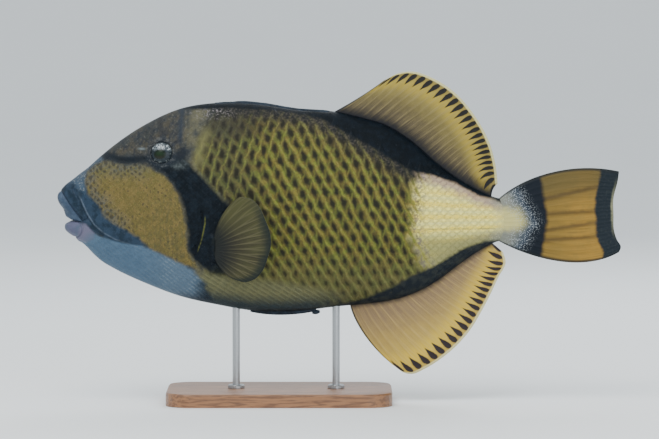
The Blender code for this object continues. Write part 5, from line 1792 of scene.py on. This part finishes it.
def steel_material():
    material, w, sockets = finish_material("BrushedSteel", roughness=0.32, metallic=1.0)
    brushed = w.streaks((26.0, 26.0, 2600.0))
    cloud = w.noise(w.place(), 60.0)
    colour = w.mix(brushed, (150, 152, 154), (192, 194, 196))
    colour = w.mix(cloud * 0.3, colour, (128, 130, 134))
    finish(w, sockets, colour, 0.24 + brushed * 0.22, brushed, 0.00006, 0.6)
    return material


def spine_material():
    """Blue-black crease and spine finish of the folded fin and the keel flap."""
    material, w, sockets = finish_material("DarkFin", roughness=0.42, coat=0.02, coat_rough=0.3,
                                           specular=0.12)
    place = w.place()
    medium = w.noise(place, 130.0)
    fine = w.noise(place, 620.0)
    streak = w.streaks((60.0, 900.0, 900.0))
    colour = w.mix(medium.ramp(0.36, 0.66), (18, 27, 36), (32, 44, 56))
    colour = w.layers(colour, [
        (streak.ramp(0.5, 0.68) * 0.6, (58, 68, 80)),
        (fine.ramp(0.58, 0.72) * 0.35, (84, 88, 86)),
    ])
    finish(w, sockets, colour, 0.34 + fine * 0.25, streak * 0.6 + fine * 0.4, 0.0004)
    return material


def floor_material(look):
    material, w, sockets = finish_material("StudioFloor", roughness=0.75, specular=0.25)
    cloud = w.noise(w.place(), 1.6, 4.0)
    grain = w.noise(w.place(), 260.0)
    colour = w.mix(cloud * 0.18, look["floor"], (206, 211, 214))
    finish(w, sockets, w.mix(grain * 0.05, colour, (190, 196, 200)), None, grain, 0.0003, 0.3)
    return material


def look_values(look, *names):
    return {name: tuple(getattr(look, name)) for name in names}


def dress(obj, material):
    """Give a carried-over solid its finish."""
    if not obj.material_slots:
        obj.data.materials.append(material)
    for slot in obj.material_slots:
        slot.material = material


def colour_of(name, description, *rgb):
    """A colour that a user may change, by red, green and blue from 0 to 255."""
    return FloatVectorProperty(name=name, description=description, subtype="COLOR", size=4,
                               min=0.0, max=1.0, default=tint(*rgb))


def thickness_of(name, description, metres):
    return FloatProperty(name=name, description=description, unit="LENGTH", default=metres,
                         min=0.0, max=0.002, precision=5)


def power_of(name, description, watts):
    return FloatProperty(name=name, description=description, unit="POWER", default=watts,
                         min=0.0, max=500.0)


class FishLook(bpy.types.PropertyGroup):
    """Colours and relief of the fish's skin and eyes."""

    net: colour_of("Net", "Bright lines round the flank scales", 66, 69, 35)
    spots: colour_of("Spots", "Dark middle of each flank scale", 29, 28, 21)
    cheek: colour_of("Cheek", "Ground colour of the dotted cheek", 92, 82, 46)
    slate: colour_of("Upper lip", "Slate of the upper lip and the band behind it", 27, 40, 52)
    jaw: colour_of("Jaw", "Steel blue of the lower jaw", 70, 92, 112)
    lip: colour_of("Lower lip", "Lilac of the lower lip", 78, 88, 106)
    stalk: colour_of("Tail stalk", "Cream of the tail stalk's scales", 246, 233, 122)
    band: colour_of("Back band", "Blue-black band under the back fins", 4, 11, 17)
    brow: colour_of("Brow", "Brown of the brow and nape", 50, 53, 53)
    iris: colour_of("Upper iris", "Pale upper half of the eye", 172, 180, 184)
    iris_low: colour_of("Lower iris", "Dark lower half of the eye", 20, 28, 30)
    pupil: colour_of("Pupil", "Dark green pupil", 16, 26, 20)
    scale_height: thickness_of(
        "Scale height", "How far a flank scale stands over the skin", 0.0006)
    scale_cells: IntProperty(
        name="Scale detail", description="Grid cells along one edge of a flank scale",
        default=12, min=4, max=16)
    relief: thickness_of("Skin grain", "Depth of the skin's fine grain", 0.0006)


class StandLook(bpy.types.PropertyGroup):
    """Finish of the display stand."""

    wood: colour_of("Wood", "Lighter wood of the base", 150, 104, 66)
    wood_dark: colour_of("Wood grain", "Darker late wood of the base", 104, 68, 42)


class StageLook(bpy.types.PropertyGroup):
    """Floor, light and camera."""

    floor: colour_of("Floor", "Pale floor colour", 240, 243, 244)
    distance: FloatProperty(
        name="Camera distance", description="From the camera to the middle of the fish",
        unit="LENGTH", default=4.5, min=0.5, max=5.0)
    elevation: FloatProperty(
        name="Camera elevation", description="How far the camera looks down",
        subtype="ANGLE", default=math.radians(3.5), min=0.0, max=1.5)
    lens: FloatProperty(
        name="Lens", description="Focal length in millimetres", default=230.6, min=20.0, max=400.0)
    key: power_of("Key light", "Power of the large light overhead", 46.0)
    fill: power_of("Fill light", "Power of the light beside the camera", 16.0)


def lay_coat(look, name, slot, paint, place, keep, **shape):
    """Give both sides one coat of scales, with a material of its own."""
    lay_scales(name, slot, skin_material(paint, look), place, keep, **shape)


class FISH_OT_skin(bpy.types.Operator):
    """Build the one skin that covers head, trunk, tail stalk and lips"""

    bl_idname = "fish.skin"
    bl_label = "Skin"

    def execute(self, context):
        new_piece("skin", "head_skin",
                  skin_material("FishSkinBare", context.scene.fish_look, 0.5, 1.0),
                  ("head", "trunk", "tail_stalk", "upper_lip", "lower_lip"), *make_skin())
        return {"FINISHED"}


class FISH_OT_flank_scales(bpy.types.Operator):
    """Lay the large rhombic scales of both flanks and the fine rows of the belly"""

    bl_idname = "fish.flank_scales"
    bl_label = "Flank and belly scales"

    def execute(self, context):
        look = context.scene.fish_look
        lay_coat(look, "flank_scales", "flank_skin", "FlankScale", net_place, keep_flank,
                 cells=look.scale_cells, height=look.scale_height / MM, tilt=0.25, seed=3)
        lay_coat(look, "belly_scales", "flank_skin", "BellyScale", straight_place(BELLY_NET),
                 keep_belly, cells=6, height=0.38, tilt=0.2, seed=5)
        return {"FINISHED"}


class FISH_OT_head_scales(bpy.types.Operator):
    """Lay the small scales of cheeks, brow, nape and jaw"""

    bl_idname = "fish.head_scales"
    bl_label = "Head scales"

    def execute(self, context):
        look = context.scene.fish_look
        lay_coat(look, "head_scales", "head_skin", "HeadScale", straight_place(HEAD_NET), keep_head,
                 cells=6, height=0.3, tilt=0.16, seed=7)
        lay_coat(look, "jaw_scales", "head_skin", "JawScale", straight_place(JAW_NET), keep_jaw,
                 cells=6, height=0.3, tilt=0.2, seed=9)
        return {"FINISHED"}


class FISH_OT_stalk_scales(bpy.types.Operator):
    """Lay the knobbed rows of scales on the tail stalk"""

    bl_idname = "fish.stalk_scales"
    bl_label = "Tail stalk scales"

    def execute(self, context):
        lay_coat(context.scene.fish_look, "stalk_scales", "stalk_skin", "StalkScale",
                 straight_place(STALK_NET), keep_stalk, cells=8, height=0.55, tilt=0.3, seed=11)
        return {"FINISHED"}


class FISH_OT_eyes(bpy.types.Operator):
    """Set both eyes and the wrinkled lids round them"""

    bl_idname = "fish.eyes"
    bl_label = "Eyes"

    def execute(self, context):
        look = context.scene.fish_look
        glass = eye_material(look_values(look, "iris", "iris_low", "pupil"))
        lid = skin_material("EyeLid", look, 0.6, 1.0)
        for _, word in SIDES:
            node = f"eye_{word}"
            new_piece(f"eyeball_{word}", "eye", glass, (node,), *eye_dome(node))
            new_piece(f"eyelid_{word}", "head_skin", lid, (), *eye_lid(node))
        return {"FINISHED"}


class FISH_OT_fins(bpy.types.Operator):
    """Build the rayed back, keel and tail fins"""

    bl_idname = "fish.fins"
    bl_label = "Back, keel and tail fins"

    def execute(self, context):
        back = fin_material("BackFin", {
            "Root": (70, 62, 50), "Outer": (138, 124, 64), "Ray": (138, 124, 84),
            "Margin": (204, 198, 142), "Gold": (176, 152, 48), "Dash": (34, 33, 32),
        }, foot_of_fin((26, 28, 34), 8.0, 9.0))
        new_piece("back_fin", "dorsal_fin_skin", back, ("soft_dorsal_fin",), *median_fin(
            DORSAL_BASE, DORSAL_SHARES, DORSAL_TIPS, DORSAL_RAYS, DORSAL_BOWS, DORSAL_BENDS,
            flesh().crest, phase=0.1))
        keel = fin_material("KeelFin", {
            "Root": (126, 104, 80), "Outer": (184, 156, 68), "Ray": (180, 154, 96),
            "Margin": (206, 198, 146), "Gold": (212, 178, 50), "Dash": (46, 39, 40),
        }, foot_of_fin((66, 58, 50), 3.0, 4.0))
        new_piece("keel_fin", "anal_fin_skin", keel, ("anal_fin",), *median_fin(
            ANAL_BASE, ANAL_SHARES, ANAL_TIPS, ANAL_RAYS, ANAL_BOWS, ANAL_BENDS,
            flesh().keel, phase=0.6))
        tail = fin_material("TailFin", {
            "Root": (122, 96, 40), "Outer": (126, 103, 50), "Ray": (142, 114, 56),
            "Margin": (120, 118, 92), "Margin Width": 2.4, "Dash Strength": 0.0,
            "Glow": 0.0, "Lead Dark": 0.0}, tail_bars)
        new_piece("tail_fin", "caudal_fin_skin", tail, ("caudal_fin",), *tail_fin())
        return {"FINISHED"}


class FISH_OT_side_fins(bpy.types.Operator):
    """Build the pectoral fins, splayed from the flanks"""

    bl_idname = "fish.side_fins"
    bl_label = "Side fins"

    def execute(self, context):
        paint = fin_material("SideFin", {
            "Root": (44, 42, 34), "Outer": (66, 66, 42), "Ray": (90, 86, 58),
            "Margin": (52, 58, 52), "Margin Width": 1.2, "Dash Strength": 0.0,
            "Glow": 0.0, "Lead Dark": 0.7}, side_fin_shade)
        for side, word in SIDES:
            new_piece(f"side_fin_{word}", "pectoral_fin_skin", paint,
                      (f"pectoral_fin_{word}",), *pectoral_fin(side))
        return {"FINISHED"}


class FISH_OT_spines(bpy.types.Operator):
    """Build the folded first back fin and the keel flap with its spine"""

    bl_idname = "fish.spines"
    bl_label = "Folded spines and keel flap"

    def execute(self, context):
        dark = spine_material()
        new_piece("folded_spines", "dark_fin", dark, ("spiny_dorsal_fin",), *folded_spines())
        new_piece("keel_flap", "dark_fin", dark, ("ventral_flap",), *keel_flap())
        return {"FINISHED"}


class FISH_OT_stand(bpy.types.Operator):
    """Give the display stand its wood and steel"""

    bl_idname = "fish.stand"
    bl_label = "Stand"

    def execute(self, context):
        look = context.scene.stand_look
        dress(frame["nodes"]["stand_base"], wood_material(look_values(look, "wood", "wood_dark")))
        steel = steel_material()
        for name in ("stand_rod_front", "stand_rod_rear"):
            dress(frame["nodes"][name], steel)
        return {"FINISHED"}


def link(name, data):
    obj = bpy.data.objects.new(name, data)
    bpy.context.scene.collection.objects.link(obj)
    return obj


def look_from(obj, place, target):
    """Put a light or the camera at a place, turned to the target."""
    obj.location = place
    obj.rotation_euler = (Vector(target) - Vector(place)).to_track_quat("-Z", "Y").to_euler()


def area_light(name, place, size, power, colour):
    data = bpy.data.lights.new(name, "AREA")
    data.shape = "DISK"
    data.size = size
    data.energy = power
    data.color = colour
    look_from(link(name, data), place, CAMERA_TARGET)


def floor_mesh():
    """Round floor that rises softly all round, in metres."""
    radius = np.concatenate([[0.02], np.linspace(0.5, FLOOR_RADIUS, FLOOR_RINGS - 1)])
    rise = np.clip((radius - FLOOR_FLAT) / (FLOOR_RADIUS - FLOOR_FLAT), 0, 1)
    height = FLOOR_RISE * rise ** 2.2
    angle = np.linspace(0, 2 * math.pi, FLOOR_SIDES, endpoint=False)
    points = np.stack(np.broadcast_arrays(
        radius[:, None] * np.cos(angle), radius[:, None] * np.sin(angle), height[:, None]),
        axis=-1).reshape(-1, 3)
    faces = ring_quads(FLOOR_RINGS, FLOOR_SIDES).tolist() + [list(range(FLOOR_SIDES))]
    mesh = bpy.data.meshes.new("floor")
    mesh.from_pydata(points.tolist(), [], faces)
    mesh.polygons.foreach_set("use_smooth", np.ones(len(mesh.polygons), bool))
    return mesh


class FISH_OT_stage(bpy.types.Operator):
    """Add the pale floor, the soft lights and the camera"""

    bl_idname = "fish.stage"
    bl_label = "Stage"

    def execute(self, context):
        look = context.scene.stage_look
        floor = link("floor", floor_mesh())
        floor.location.z = -FLOOR_DROP
        floor.data.materials.append(floor_material(look_values(look, "floor")))

        for name, place, width, power, colour in LIGHTS:
            area_light(name, place, width, getattr(look, power), colour)
        world_light = bpy.data.worlds.new("studio")
        world_light.use_nodes = True
        background = world_light.node_tree.nodes["Background"]
        background.inputs["Color"].default_value = tint(*ROOM_LIGHT)
        background.inputs["Strength"].default_value = ROOM_STRENGTH
        context.scene.world = world_light

        data = bpy.data.cameras.new("camera")
        data.lens = look.lens
        data.sensor_width = SENSOR_WIDTH
        camera = link("camera", data)
        lean = look.elevation
        away = Vector((0.0, -math.cos(lean), math.sin(lean))) * look.distance
        look_from(camera, Vector(CAMERA_TARGET) + away, CAMERA_TARGET)
        context.scene.camera = camera
        return {"FINISHED"}


STEPS = (
    FISH_OT_skin, FISH_OT_flank_scales, FISH_OT_head_scales, FISH_OT_stalk_scales, FISH_OT_eyes,
    FISH_OT_fins, FISH_OT_side_fins, FISH_OT_spines, FISH_OT_stand, FISH_OT_stage,
)


class FISH_PT_panel(bpy.types.Panel):
    """Sizes, colours and steps of the display model"""

    bl_idname = "FISH_PT_panel"
    bl_label = "Triggerfish"
    bl_space_type = "VIEW_3D"
    bl_region_type = "UI"
    bl_category = "Fish"

    def draw(self, context):
        layout = self.layout
        scene = context.scene
        for title, look in (("Fish", scene.fish_look), ("Stand", scene.stand_look),
                            ("Stage", scene.stage_look)):
            box = layout.box()
            box.label(text=title)
            for name in look.__annotations__:
                box.prop(look, name)
        for step_class in STEPS:
            layout.operator(step_class.bl_idname)


CLASSES = (FishLook, StandLook, StageLook) + STEPS + (FISH_PT_panel,)


def register():
    for item in CLASSES:
        bpy.utils.register_class(item)
    bpy.types.Scene.fish_look = PointerProperty(type=FishLook)
    bpy.types.Scene.stand_look = PointerProperty(type=StandLook)
    bpy.types.Scene.stage_look = PointerProperty(type=StageLook)


def unregister():
    for name in ("fish_look", "stand_look", "stage_look"):
        delattr(bpy.types.Scene, name)
    for item in reversed(CLASSES):
        bpy.utils.unregister_class(item)


def corners(box):
    return [list(corner) for corner in box]


def main():
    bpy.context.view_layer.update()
    register()
    for step_class in STEPS:
        group, name = step_class.bl_idname.split(".")
        getattr(getattr(bpy.ops, group), name)()


if __name__ == "__main__":
    main()
